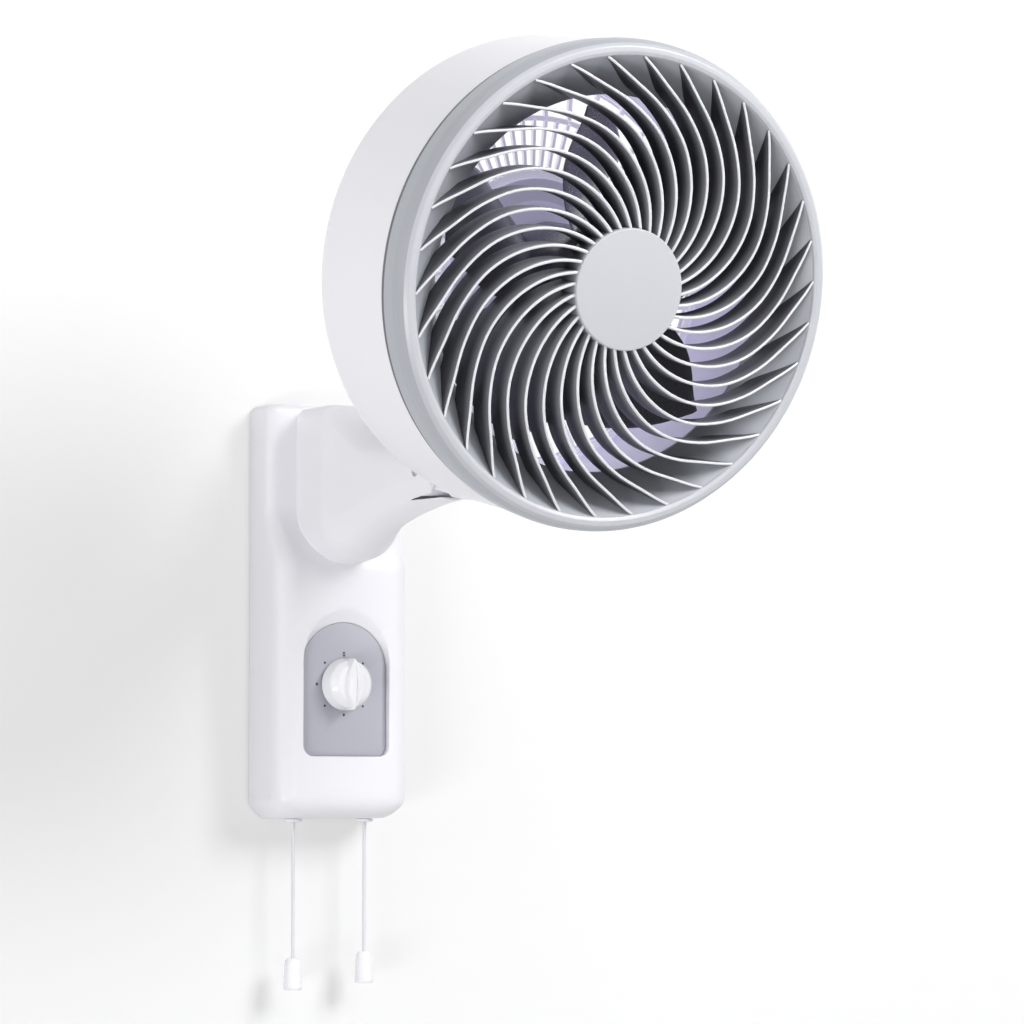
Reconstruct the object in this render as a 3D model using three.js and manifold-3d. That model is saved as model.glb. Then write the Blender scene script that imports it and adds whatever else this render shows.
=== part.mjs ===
// Wall mounted fan: a box on the wall carries an arm, a tilting neck and a drum-shaped fan head
// that swings. Millimetres, +Z up, wall plane at Y = 0, air blown towards -Y, viewer's right is +X.
import * as THREE from "three";
import { mergeVertices } from "three/addons/utils/BufferGeometryUtils.js";
import Module from "manifold-3d";

const wasm = await Module();
wasm.setup();

// ---------------------------------------------------------------- driving dimensions

const DEG = Math.PI / 180;
const FIT = 0.3; // gap between pieces that touch

// wall box
const BOX = { halfWidth: 47.5, top: 132, bottom: -132, wall: 2.4, back: -0.6 };
const BOX_DEPTH = { upper: 27, lower: 44, stepTop: 66, stepBottom: 26 };
const BOX_EDGE = { upper: 8, lower: 14, top: 6, bottom: 15, chamfer: 11 };
const PLATE_THICK = 2.5;
const SEAM = 44; // sides of the round parts of the head

// control plate, dial and knob
const DIAL = { z: -47, halfWidth: 30.5, top: -7.5, bottom: -92.5, face: -40, thick: 1.2 };
const KNOB = { radius: 17, back: -40.9, front: -55, ridge: 4, shaft: 3 };

// pull cords
const PULL = { x: 25.5, y: -20, cord: 2.2, bellRadius: 6.1, bellHeight: 20.5 };
const BELL_BOTTOM = { left: -240.4, right: -237 };

// arm
const ARM = { halfWidth: 28, top: 129, wall: 2.8, foot: -61 };
const KNUCKLE = { y: -167, z: 80, radius: 18, cheekInside: 12.6, webTop: 62.6, webEnd: -181 };
const PIN_RADIUS = 4;

// head: its own frame has the origin at the middle of the rib tips, +Y along the shaft to the rear
const HEAD = { y: -377, z: 168.3, tilt: 12 };
const RING = { radius: 140.5, lip: 131, back: 26 };
const RIB = { count: 34, first: -1.7, sweep: 60, hub: 34.8, tip: 130.2, thick: 1.9, depth: 18, hubFront: -9.9 };
const DRUM = { radius: 138.5, front: 27, back: 110, edge: 12, wall: 2.4, bore: 117.5 };
const GUARD = { front: 103.2, thick: 3, slats: 48, bore: 43, hub: 60, ring: 90, rim: 116.8 };
const BLADE = { count: 5, hub: 31, tip: 102, front: 24, back: 78, first: 16.5, thick: 1.1, bow: 4 };
const MOTOR = { radius: 42, shaft: 4, screwCircle: 50.5, flange: 55 };
const COVER = { radius: 46, front: 106.6, back: 206, floor: -45.6 };

// swing: a post on the neck carries the head, and a pinion walks round a fixed sector gear
const SWING = { y: 150, post: 6, column: 16, top: -60 };
const GEAR = { module: 0.9, pinionTeeth: 10, sectorTeeth: 40, thick: 4.5, top: -52.2 };

// ---------------------------------------------------------------- finishes

const finish = (color, roughness, metalness = 0) =>
  new THREE.MeshStandardMaterial({ color, roughness, metalness });
const whitePlastic = finish(0xf1f1f4, 0.42);
const greyPlastic = finish(0xc4c6cb, 0.45);
const plateGrey = finish(0xb4b5bf, 0.5);
const bladeGrey = finish(0x4a4a50, 0.38);
const blackPlastic = finish(0x26262a, 0.55);
const steel = finish(0xb9bbbf, 0.35, 0.9);
const darkSteel = finish(0x6f7276, 0.45, 0.85);
const castAluminium = finish(0xa5a8ac, 0.5, 0.8);
const brass = finish(0xc9a75a, 0.35, 0.9);
const copper = finish(0xb06a3c, 0.4, 0.8);
const rubber = finish(0x303033, 0.8);
const nylon = finish(0xe9e9e4, 0.55);
const cordWhite = finish(0xf4f4f6, 0.8);

// ---------------------------------------------------------------- solids

// A closed geometry as a solid with its faces pointing out.
function solid(geometry) {
  const bare = geometry.clone();
  bare.deleteAttribute("normal");
  bare.deleteAttribute("uv");
  const merged = mergeVertices(bare, 1e-4);
  const make = (triVerts) =>
    new wasm.Manifold(
      new wasm.Mesh({ numProp: 3, vertProperties: merged.attributes.position.array, triVerts }),
    );
  const faces = new Uint32Array(merged.index.array);
  const made = make(faces);
  if (made.volume() > 0) return made;
  for (let i = 0; i < faces.length; i += 3) [faces[i], faces[i + 1]] = [faces[i + 1], faces[i]];
  return make(faces);
}

function geometryOf(body) {
  const { numProp, vertProperties, triVerts } = body.getMesh();
  const count = vertProperties.length / numProp;
  const positions = new Float32Array(count * 3);
  for (let i = 0; i < count; i++)
    positions.set(vertProperties.subarray(i * numProp, i * numProp + 3), i * 3);
  const geometry = new THREE.BufferGeometry();
  geometry.setAttribute("position", new THREE.BufferAttribute(positions, 3));
  geometry.setIndex(new THREE.BufferAttribute(triVerts, 1));
  geometry.computeVertexNormals();
  return geometry;
}

const join = (...bodies) => bodies.reduce((a, b) => a.add(b));
const cut = (body, ...tools) => tools.reduce((a, b) => a.subtract(b), body);

// Boxes and rods are given by their ends along each axis.
function block(x0, x1, y0, y1, z0, z1) {
  const g = new THREE.BoxGeometry(Math.abs(x1 - x0), Math.abs(y1 - y0), Math.abs(z1 - z0));
  return solid(g.translate((x0 + x1) / 2, (y0 + y1) / 2, (z0 + z1) / 2));
}

function rodX(radius, x0, x1, y, z, sides = 16) {
  const g = new THREE.CylinderGeometry(radius, radius, Math.abs(x1 - x0), sides);
  return solid(g.rotateZ(Math.PI / 2).translate((x0 + x1) / 2, y, z));
}

function rodY(radius, y0, y1, x = 0, z = 0, sides = 16) {
  const g = new THREE.CylinderGeometry(radius, radius, Math.abs(y1 - y0), sides);
  return solid(g.translate(x, (y0 + y1) / 2, z));
}

function rodZ(radius, z0, z1, x = 0, y = 0, sides = 16) {
  const g = new THREE.CylinderGeometry(radius, radius, Math.abs(z1 - z0), sides);
  return solid(g.rotateX(Math.PI / 2).translate(x, y, (z0 + z1) / 2));
}

// A profile of [radius, height] points, closed on itself or on the axis, turned round Y.
function turned(profile, sides) {
  const points = profile.map(([radius, height]) => new THREE.Vector2(radius, height));
  const onAxis = points[0].x === 0 && points.at(-1).x === 0;
  if (!onAxis) points.push(points[0].clone());
  return solid(new THREE.LatheGeometry(points, sides));
}

// The same round Z, at a place in X and Y.
function turnedZ(profile, sides, x = 0, y = 0) {
  return solid(geometryOf(turned(profile, sides)).rotateX(Math.PI / 2).translate(x, y, 0));
}

// An outline in X and Z, as deep as given, from a plane at Y towards the front.
function slab(shape, y, depth, curveSegments = 6) {
  const g = new THREE.ExtrudeGeometry(shape, { depth, bevelEnabled: false, curveSegments });
  return solid(g.rotateX(Math.PI / 2).translate(0, y, 0));
}

// Closed loops with the same number of points, skinned one after the other, with flat ends.
function loft(loops) {
  const n = loops[0].length;
  const positions = loops.flat(2);
  const index = [];
  for (let k = 0; k + 1 < loops.length; k++)
    for (let i = 0; i < n; i++) {
      const a = k * n + i;
      const b = k * n + ((i + 1) % n);
      index.push(a, b, b + n, a, b + n, a + n);
    }
  const last = (loops.length - 1) * n;
  for (let i = 1; i + 1 < n; i++) index.push(0, i + 1, i, last, last + i, last + i + 1);
  const g = new THREE.BufferGeometry();
  g.setAttribute("position", new THREE.Float32BufferAttribute(positions, 3));
  g.setIndex(index);
  return solid(g);
}

const lerp = (a, b, t) => a + (b - a) * t;
const smooth = (a, b, x) => THREE.MathUtils.smoothstep(x, a, b);

// A value read off a few [place, value] pairs by straight lines.
function along(pairs, place) {
  const next = pairs.findIndex(([at]) => at >= place);
  if (next === 0) return pairs[0][1];
  if (next < 0) return pairs.at(-1)[1];
  const [a, va] = pairs[next - 1];
  const [b, vb] = pairs[next];
  return lerp(va, vb, (place - a) / (b - a));
}

const placed = (group, parts) =>
  Object.entries(parts).forEach(([name, [body, material]]) => {
    const mesh = new THREE.Mesh(geometryOf(body), material);
    mesh.name = name;
    group.add(mesh);
  });

// A pan head screw along Y: the head's top at y, its shank towards the front or the rear.
function screwY(x, z, y, direction, length, headRadius = 3.4) {
  const head = rodY(headRadius, y, y + direction * 1.4, x, z, 10);
  const shank = rodY(headRadius * 0.42, y + direction * 1.3, y + direction * length, x, z, 6);
  const slot = block(x - headRadius, x + headRadius, y - direction, y + direction * 0.6, z - 0.5, z + 0.5);
  return cut(join(head, shank), slot);
}

// ---------------------------------------------------------------- wall box

// One level slice of the box, seen from above: flat back, rounded front corners.
function boxSlice(z, grow) {
  const { halfWidth, top, bottom } = BOX;
  const step = 1 - smooth(BOX_DEPTH.stepBottom, BOX_DEPTH.stepTop, z);
  let depth = lerp(BOX_DEPTH.upper, BOX_DEPTH.lower, step) + grow;
  let half = halfWidth + grow;
  const fromTop = top + grow - z;
  const fromBottom = z - (bottom - grow);
  if (fromTop < BOX_EDGE.top) {
    const rise = BOX_EDGE.top - Math.sqrt(BOX_EDGE.top ** 2 - (BOX_EDGE.top - fromTop) ** 2);
    depth -= rise;
    half -= rise;
  }
  if (fromBottom < BOX_EDGE.bottom) {
    const rise = BOX_EDGE.bottom - Math.sqrt(BOX_EDGE.bottom ** 2 - (BOX_EDGE.bottom - fromBottom) ** 2);
    depth -= rise;
  }
  if (fromBottom < BOX_EDGE.chamfer) half -= (BOX_EDGE.chamfer - fromBottom) * 0.85;
  const edge = Math.max(lerp(BOX_EDGE.upper, BOX_EDGE.lower, step) + grow, 1);
  const back = BOX.back - Math.min(grow, 0) * 4;
  const loop = [[-half, back, z]];
  const turns = 4;
  for (let i = 0; i <= turns; i++) {
    const a = (i / turns) * 90 * DEG;
    loop.push([-half + edge * (1 - Math.cos(a)), -depth + edge * (1 - Math.sin(a)), z]);
  }
  for (let i = 0; i <= turns; i++) {
    const a = (i / turns) * 90 * DEG;
    loop.push([half - edge * (1 - Math.sin(a)), -depth + edge * (1 - Math.cos(a)), z]);
  }
  loop.push([half, back, z]);
  return loop;
}

// The whole box as a solid, grown or shrunk evenly.
function boxSolid(grow) {
  const { top, bottom } = BOX;
  const low = bottom - grow;
  const high = top + grow;
  const levels = [low, low + 1.2, low + 4, low + 8, low + 11, low + 15];
  const steps = 5;
  for (let i = 0; i <= steps; i++)
    levels.push(lerp(BOX_DEPTH.stepBottom, BOX_DEPTH.stepTop, i / steps));
  levels.push(high - 6, high - 3, high - 1, high - 0.05);
  return loft(levels.map((z) => boxSlice(z, grow)));
}

// The arch-topped outline of the control plate.
function archShape(grow, corner = 5) {
  const w = DIAL.halfWidth + grow;
  const low = DIAL.bottom - grow;
  const spring = DIAL.top - DIAL.halfWidth;
  const shape = new THREE.Shape();
  shape.moveTo(-w, spring);
  shape.absarc(0, spring, w, Math.PI, 0, true);
  shape.lineTo(w, low + corner);
  shape.absarc(w - corner, low + corner, corner, 0, -Math.PI / 2, true);
  shape.lineTo(-w + corner, low);
  shape.absarc(-w + corner, low + corner, corner, -Math.PI / 2, -Math.PI, true);
  return shape;
}

const coverScrews = [[-36, 108], [36, 108], [-38.5, -100], [38.5, -100]];
const lugAngles = [45, 135, 225, 315];
const motorScrewAngles = [45, 135, 225, 315];
const armScrews = [[-18, 112], [18, 112], [-18, 76], [18, 76]];
const switchScrews = [[-18, DIAL.z], [18, DIAL.z]];
const wireHole = { z: 94, radius: 9 };
const inletHole = { z: -72, radius: 6 };

function wallPlate() {
  const inset = BOX.wall + FIT;
  const w = BOX.halfWidth - inset;
  const high = BOX.top - inset;
  const corner = 11.6;
  const shape = new THREE.Shape();
  shape.moveTo(-w + corner, -high);
  shape.lineTo(w - corner, -high);
  shape.lineTo(w, -high + corner);
  shape.lineTo(w, high - corner / 2);
  shape.lineTo(w - corner / 2, high);
  shape.lineTo(-w + corner / 2, high);
  shape.lineTo(-w, high - corner / 2);
  shape.lineTo(-w, -high + corner);
  const sheet = slab(shape, 0, PLATE_THICK);
  const keyholes = [-22, 22].flatMap((x) => [
    rodY(4.6, 1, -4, x, 92, 16),
    block(x - 2.3, x + 2.3, 1, -4, 92, 103),
  ]);
  const holes = [-22, 22].map((x) => rodY(2.4, 1, -4, x, -88, 12));
  const screwHoles = coverScrews.map(([x, z]) => rodY(1.9, 1, -4, x, z, 10));
  const dimples = coverScrews.map(([x, z]) => rodY(3.9, 1, -1.9, x, z, 12));
  const ribs = [-30, 30].map((x) => block(x - 1.2, x + 1.2, -2, -7, -70, 70));
  const inlet = rodY(inletHole.radius, 1, -5, 0, inletHole.z);
  return cut(join(sheet, ...ribs), ...keyholes, ...holes, ...screwHoles, ...dimples, inlet);
}

function frontCover() {
  const tray = slab(archShape(BOX.wall), DIAL.face + DIAL.thick + 3, 7.4);
  const pocket = slab(archShape(0), DIAL.face + DIAL.thick, 10);
  let cover = cut(boxSolid(0), boxSolid(-BOX.wall));
  cover = cut(join(cover, tray), pocket);
  const bosses = coverScrews.map(([x, z]) =>
    rodY(4, -2.9, 1 - (z > 0 ? BOX_DEPTH.upper : BOX_DEPTH.lower), x, z, 10));
  const pillars = switchScrews.map(([x, z]) => rodY(3.4, -29.2, -37, x, z, 10));
  cover = join(cover, ...bosses, ...pillars);
  const pilots = coverScrews.map(([x, z]) => rodY(1.6, -1, -16, x, z, 8));
  const switchPilots = switchScrews.map(([x, z]) => rodY(1.3, -28, -35.5, x, z, 8));
  const armHoles = armScrews.map(([x, z]) => rodY(2, -20, -30, x, z, 8));
  const cordHoles = [-PULL.x, PULL.x].map((x) => rodZ(4.2 + FIT, -140, -124, x, PULL.y, 16));
  return cut(
    cover,
    ...pilots,
    ...switchPilots,
    ...armHoles,
    ...cordHoles,
    rodY(wireHole.radius, -20, -32, 0, wireHole.z, 16),
    rodY(KNOB.shaft + 2.6, -30, -45, 0, DIAL.z, 16),
  );
}

function controlPlate() {
  const plate = slab(archShape(-FIT), DIAL.face + DIAL.thick, DIAL.thick, 8);
  return cut(plate, rodY(KNOB.shaft + 2, -35, -45, 0, DIAL.z, 16));
}

function knobBody() {
  const { radius, back, front, ridge } = KNOB;
  const skin = [
    [0, back], [radius - 0.6, back], [radius, back - 1], [radius, back - 5],
    [radius - 1.4, front + 2.6], [radius - 4, front + 0.4], [radius - 6, front], [0, front],
  ];
  const skirt = turned(skin, 24);
  const grip = new THREE.Shape();
  const half = radius - 0.8;
  grip.moveTo(0, half);
  grip.quadraticCurveTo(5.4, half * 0.4, 5.4, 0);
  grip.quadraticCurveTo(5.4, -half * 0.4, 0, -half);
  grip.quadraticCurveTo(-5.4, -half * 0.4, -5.4, 0);
  grip.quadraticCurveTo(-5.4, half * 0.4, 0, half);
  const handle = slab(grip, back - 6, back - 6 - (front - ridge), 5);
  const bore = rodY(KNOB.shaft + FIT, back + 1, back - 11, 0, 0, 16);
  return cut(join(skirt, handle), bore);
}

function rotarySwitch() {
  const { z } = DIAL;
  const can = block(-13, 13, -15, -34, z - 13, z + 13);
  const ears = block(-22, 22, -27, -28.9, z - 5, z + 5);
  const bush = rodY(4.6, -34, -38.4, 0, z, 16);
  const tabs = [-8, 0, 8].map((x) => block(x - 1.5, x + 1.5, -8, -15.2, z - 0.4, z + 0.4));
  const bore = rodY(KNOB.shaft + FIT, -20, -40, 0, z, 12);
  const earHoles = switchScrews.map(([x, zz]) => rodY(1.8, -20, -32, x, zz, 8));
  return cut(join(can, ears, bush, ...tabs), bore, ...earHoles);
}

function knobShaft() {
  const rod = rodY(KNOB.shaft, -21, KNOB.back - 10.6, 0, 0, 16);
  const flat = block(-5, 5, -46, -60, 1.9, 5);
  return cut(rod, flat);
}

// A pull switch hangs inside the box over its cord's hole; the slider runs down its middle.
function pullSwitch(x) {
  const { y } = PULL;
  const can = block(x - 7.5, x + 7.5, y - 8, y + 8, -112, -84);
  const foot = block(x - 6, x + 6, y - 6, y + 6, -122, -112);
  const tabs = [-5, 5].map((dx) => block(x + dx - 1.4, x + dx + 1.4, y - 0.4, y + 0.4, -84.2, -77));
  const room = block(x - 3.6, x + 3.6, y - 3.6, y + 3.6, -110, -90);
  const way = block(x - 1.9, x + 1.9, y - 1.9, y + 1.9, -124, -108);
  return cut(join(can, foot, ...tabs), room, way);
}

function pullSlider(x) {
  const { y } = PULL;
  const head = block(x - 3.2, x + 3.2, y - 3.2, y + 3.2, -96, -91);
  const stem = block(x - 1.5, x + 1.5, y - 1.5, y + 1.5, -117, -95);
  return join(head, stem);
}

function pullSpring(x) {
  return turnedZ([[2.5, -109.6], [3.3, -109.6], [3.3, -96.4], [2.5, -96.4]], 12, x, PULL.y);
}

// A flanged bush lines the hole where a cord leaves the box.
function cordBush(x) {
  const { y } = PULL;
  const profile = [[1.9, -134.2], [5.4, -134.2], [5.4, -132.3], [4.2, -132.3], [4.2, -125.5], [1.9, -125.5]];
  return turnedZ(profile, 14, x, y);
}

// The pull cord's route, from the slider to the bell.
const CORD_TOP = -117.4;
const CORD_STEPS = 16;
function cordRoute(x, bellBottom) {
  const low = bellBottom + PULL.bellHeight - 3.4;
  const route = [];
  for (let i = 0; i <= CORD_STEPS; i++) {
    const t = i / CORD_STEPS;
    route.push(new THREE.Vector3(x, PULL.y, lerp(CORD_TOP, low, t)));
  }
  return route;
}

function pullCord(x, bellBottom) {
  const section = new THREE.Shape();
  const sides = 8;
  for (let i = 0; i < sides; i++) {
    const a = (i / sides) * 2 * Math.PI;
    const place = [Math.cos(a) * PULL.cord / 2, Math.sin(a) * PULL.cord / 2];
    if (i) section.lineTo(...place);
    else section.moveTo(...place);
  }
  const extrudePath = new THREE.CatmullRomCurve3(cordRoute(x, bellBottom));
  return solid(new THREE.ExtrudeGeometry(section, { steps: CORD_STEPS, extrudePath }));
}

function bell(x, bottom) {
  const { bellRadius: r, bellHeight: h } = PULL;
  const bore = PULL.cord / 2 + FIT;
  const profile = [
    [bore, bottom + h - 3.8], [bore, bottom + h], [3.2, bottom + h], [4.8, bottom + h - 1.2],
    [5.4, bottom + h - 3.6], [r, bottom + 3], [r, bottom + 1], [r - 1, bottom], [0, bottom],
    [0, bottom + h - 3.8],
  ];
  const points = profile.map(([radius, height]) => new THREE.Vector2(radius, height));
  points.push(points[0].clone());
  const lathe = new THREE.LatheGeometry(points, 14);
  return solid(lathe.rotateX(Math.PI / 2).translate(x, PULL.y, 0));
}

function terminalBlock() {
  const base = block(-20, 20, -3, -15, 20, 34);
  const ways = [-14, -5, 5, 14].map((x) => rodY(2.2, -9, -20, x, 27, 6));
  return cut(base, ...ways);
}

function runCapacitor() {
  return join(block(-21, -3, -3.2, -20, 44, 84), block(-14, -10, -10, -13, 83, 88));
}

function inletGrommet() {
  const tube = rodY(inletHole.radius - FIT, -0.3, -7, 0, inletHole.z);
  const lip = rodY(inletHole.radius + 1.8, -PLATE_THICK - FIT, -4.4, 0, inletHole.z);
  return cut(join(tube, lip), rodY(3.4, 5, -20, 0, inletHole.z, 12));
}

// ---------------------------------------------------------------- arm

// Outline heights and widths of the arm against its distance from the wall.
const armForm = {
  bottom: [[24, 28], [61, 30.5], [75, 37], [90, 44.5], [110, 50.5], [150, 57.5], [185, 61], [206, 62.4]],
  top: [[24, 129], [61, 129], [68, 125], [78, 117], [92, 109], [112, 103], [150, 99], [206, 98]],
  half: [[24, 28], [61, 28], [68, 25.6], [80, 22.6], [96, 20.4], [118, 19], [150, 18.3], [206, 18]],
  shoulder: [[24, 8], [61, 8], [80, 12], [110, 16], [206, 16]],
};

// One upright slice of the arm: round below, rounded shoulders above.
function armSlice(distance, shrink) {
  const half = along(armForm.half, distance) - shrink;
  const top = along(armForm.top, distance) - shrink;
  const low = along(armForm.bottom, distance) + shrink;
  const shoulder = Math.max(Math.min(along(armForm.shoulder, distance), half) - shrink, 1);
  const belly = Math.min(half, (top - low) / 2);
  const loop = [];
  const turns = 8;
  for (let i = 0; i <= turns; i++) {
    const a = (180 + (i / turns) * 180) * DEG;
    loop.push([half * Math.cos(a), -distance, low + belly + belly * Math.sin(a)]);
  }
  for (let i = 0; i <= 4; i++) {
    const a = (i / 4) * 90 * DEG;
    loop.push([half - shoulder * (1 - Math.cos(a)), -distance, top - shoulder * (1 - Math.sin(a))]);
  }
  for (let i = 0; i <= 4; i++) {
    const a = (90 + (i / 4) * 90) * DEG;
    loop.push([-half + shoulder * (1 + Math.cos(a)), -distance, top - shoulder * (1 - Math.sin(a))]);
  }
  return loop;
}

// A side view outline in Y and Z, cut through the whole width of the arm.
function sideShape(outline, half) {
  const shape = new THREE.Shape(outline.map(([y, z]) => new THREE.Vector2(y, z)));
  const g = new THREE.ExtrudeGeometry(shape, { depth: 2 * half, bevelEnabled: false });
  // the shape's x and y become Y and Z, and its depth becomes X
  g.applyMatrix4(new THREE.Matrix4().makeBasis(
    new THREE.Vector3(0, 1, 0), new THREE.Vector3(0, 0, 1), new THREE.Vector3(1, 0, 0),
  ));
  return solid(g.translate(-half, 0, 0));
}

// The shell is open towards the wall box, and its foot is screwed on from inside the box.
function armShell() {
  const distances = [24, 61, 68, 75, 84, 96, 112, 150, 206];
  const outside = loft(distances.map((d) => armSlice(d, 0)));
  const hollow = loft([20, 59, 66, 75, 84, 96, 112, 140].map((d) => armSlice(d, ARM.wall)));
  const { y, z, radius, cheekInside, webTop, webEnd } = KNUCKLE;
  const nose = rodX(radius, -30, 30, y, z, 28);
  const noseSide = join(
    sideShape([[0, 0], [0, 150], [y, 150], [y, 0]], 30),
    nose,
    sideShape([[y + 1, 40], [y + 1, webTop], [webEnd, webTop + 1.4], [webEnd, 40]], 30),
  );
  const slot = block(-cheekInside, cheekInside, y + radius + 1, -230, webTop, 150);
  const pinHole = rodX(PIN_RADIUS + FIT, -30, 30, y, z, 16);
  const wire = rodY(5, -135, -160, 0, z, 12);
  const pilots = armScrews.map(([sx, sz]) => rodY(1.5, -20, -37, sx, sz, 8));
  const bosses = armScrews.map(([sx, sz]) => rodY(4, -20, -38, sx, sz, 10));
  const side = ARM.halfWidth - ARM.wall / 2;
  const webs = armScrews.map(([sx, sz]) =>
    block(sx, Math.sign(sx) * side, -20, -38, sz - 1.2, sz + 1.2));
  const shell = join(cut(outside.intersect(noseSide), hollow), ...bosses, ...webs);
  return cut(shell, slot, pinHole, wire, ...pilots, boxSolid(FIT));
}

// ---------------------------------------------------------------- head frame

// Head coordinates [y, z] as wall coordinates, for the neck, which tilts but doesn't swing.
const cosTilt = Math.cos(HEAD.tilt * DEG);
const sinTilt = Math.sin(HEAD.tilt * DEG);

// The same place of the tilt axis, read in the head's own frame.
const knuckleInHead = {
  y: (KNUCKLE.y - HEAD.y) * cosTilt + (KNUCKLE.z - HEAD.z) * sinTilt,
  z: -(KNUCKLE.y - HEAD.y) * sinTilt + (KNUCKLE.z - HEAD.z) * cosTilt,
};

function neckBody() {
  const { y, z } = knuckleInHead;
  const half = KNUCKLE.cheekInside - 0.6;
  const barrel = rodX(15.6, -half, half, y, z, 28);
  const low = z - 13.4;
  const column = turnedZ(
    [[0, low + 2], [10, low + 2], [13.5, low + 4], [15, low + 14], [SWING.column, -84], [SWING.column, -66],
      [13, SWING.top], [SWING.post, SWING.top], [SWING.post, -44.4], [0, -44.4]],
    28, 0, SWING.y,
  );
  const beam = block(-half + 0.4, half - 0.4, SWING.y, y, z - 9.5, z + 12);
  const rear = block(-half + 0.4, half - 0.4, SWING.y, y - 4, z + 8, z + 26);
  const ramp = rodX(14, -40, 40, y + 5, z + 30, 28);
  const bore = rodX(PIN_RADIUS + FIT, -40, 40, y, z, 16);
  const duct = rodZ(3, z, -40, 0, SWING.y, 12);
  const wires = rodY(3, SWING.y - 2, y - 8, 0, z, 12);
  return cut(join(barrel, column, beam, cut(rear, ramp)), bore, duct, wires);
}

function toothedRing(teeth, pitchRadius, arc, boreRadius, top, thick) {
  const shape = new THREE.Shape();
  const tip = pitchRadius + 0.85 * GEAR.module;
  const root = pitchRadius - 1.25 * GEAR.module;
  const pitch = 360 / teeth;
  const count = Math.round((arc / 360) * teeth);
  const start = -(count * pitch) / 2 + pitch / 2;
  const at = (radius, angle) => [radius * Math.cos(angle * DEG), radius * Math.sin(angle * DEG)];
  const points = [];
  for (let i = 0; i < count; i++) {
    const middle = start + i * pitch;
    points.push(at(root, middle - pitch * 0.3), at(tip, middle - pitch * 0.12));
    points.push(at(tip, middle + pitch * 0.12), at(root, middle + pitch * 0.3));
  }
  points.forEach((p, i) => (i ? shape.lineTo(...p) : shape.moveTo(...p)));
  if (arc < 360) {
    const back = 12;
    for (let i = 0; i <= back; i++) {
      const a = start + (count - 1) * pitch + 12 + ((360 - arc - 14) * i) / back;
      shape.lineTo(...at(boreRadius + 4, a));
    }
  }
  const g = new THREE.ExtrudeGeometry(shape, { depth: thick, bevelEnabled: false });
  return cut(solid(g.translate(0, 0, top - thick)), rodZ(boreRadius, top - 20, top + 20, 0, 0, 20));
}

const PINION_Y = SWING.y + (GEAR.module * (GEAR.pinionTeeth + GEAR.sectorTeeth)) / 2 + 0.3;

function sectorGear() {
  const gear = toothedRing(
    GEAR.sectorTeeth, (GEAR.sectorTeeth * GEAR.module) / 2, 126, SWING.post + FIT, GEAR.top - 0.6, 3.6,
  );
  const g = geometryOf(gear).rotateZ(90 * DEG).translate(0, SWING.y, 0);
  const foot = turnedZ(
    [[SWING.post + FIT, SWING.top + FIT], [12, SWING.top + FIT], [12, -56], [SWING.post + FIT, -56]],
    20, 0, SWING.y,
  );
  return join(solid(g), foot);
}

function swingPinion() {
  const gear = toothedRing(
    GEAR.pinionTeeth, (GEAR.pinionTeeth * GEAR.module) / 2, 360, 1.2, GEAR.top, GEAR.thick,
  );
  const half = 180 / GEAR.pinionTeeth;
  const g = geometryOf(gear).rotateZ((90 + half) * DEG).translate(0, PINION_Y, 0);
  const hub = rodZ(2.4, GEAR.top - 0.1, -51.2, 0, PINION_Y, 12);
  const shaft = rodZ(1.4, GEAR.top - 4, -45, 0, PINION_Y, 10);
  return join(solid(g), hub, shaft);
}

// The bracket under the motor cover that turns on the neck's post and carries the swing motor.
function swingBracket() {
  const plate = block(-24, 24, 122, 194, -50.8, -47.4);
  const ears = [-22, 22].flatMap((x) => [126, 152].map((y) =>
    block(x - 1.8, x + 1.8, y, y + 10, -47.5, COVER.floor - FIT)));
  const round = rodZ(12, -51.4, -47.4, 0, SWING.y, 24);
  return cut(
    join(plate, round, ...ears),
    rodZ(SWING.post + FIT, -60, -40, 0, SWING.y, 20),
    rodZ(3, -60, -40, 0, PINION_Y, 12),
  );
}

function gearCover() {
  const outer = turnedZ([[0, -66], [34, -66], [38, -62], [38, -51.2], [0, -51.2]], 24, 0, SWING.y + 8);
  const inner = turnedZ([[0, -64], [32.8, -64], [36, -61.2], [36, -50], [0, -50]], 24, 0, SWING.y + 8);
  const hole = rodZ(SWING.column + 1.2, -70, -60, 0, SWING.y, 28);
  const lip = cut(
    join(
      rodZ(1.9, -64.6, -51.2, -30, SWING.y + 8, 8),
      rodZ(1.9, -64.6, -51.2, 30, SWING.y + 8, 8),
    ),
  );
  return cut(join(cut(outer, inner), lip), hole);
}

// ---------------------------------------------------------------- head

function drumShell() {
  const { radius: r, front, back, edge, wall, bore } = DRUM;
  const profile = [[r - wall, front + 3], [r - wall, front], [r, front], [r, back - edge]];
  const turns = 3;
  for (let i = 1; i <= turns; i++) {
    const a = (i / turns) * 90 * DEG;
    profile.push([r - edge + edge * Math.cos(a), back - edge + edge * Math.sin(a)]);
  }
  profile.push([bore - 5.5, back], [bore - 5.5, back - 3.4], [bore, back - 3.4]);
  profile.push([bore, front + 4], [bore + wall, front + 4]);
  profile.push([bore + wall, back - wall]);
  for (let i = turns; i >= 0; i--) {
    const a = (i / turns) * 90 * DEG;
    const e = edge - wall;
    profile.push([r - edge + e * Math.cos(a), back - edge + e * Math.sin(a)]);
  }
  const shell = turned(profile, SEAM);
  const lugs = lugAngles.map((a) => {
    const x = 130 * Math.cos(a * DEG);
    const z = 130 * Math.sin(a * DEG);
    return cut(rodY(4.2, 34, 108.5, x, z, 8), rodY(1.6, 30, 60, x, z, 6));
  });
  return join(shell, ...lugs);
}

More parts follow.
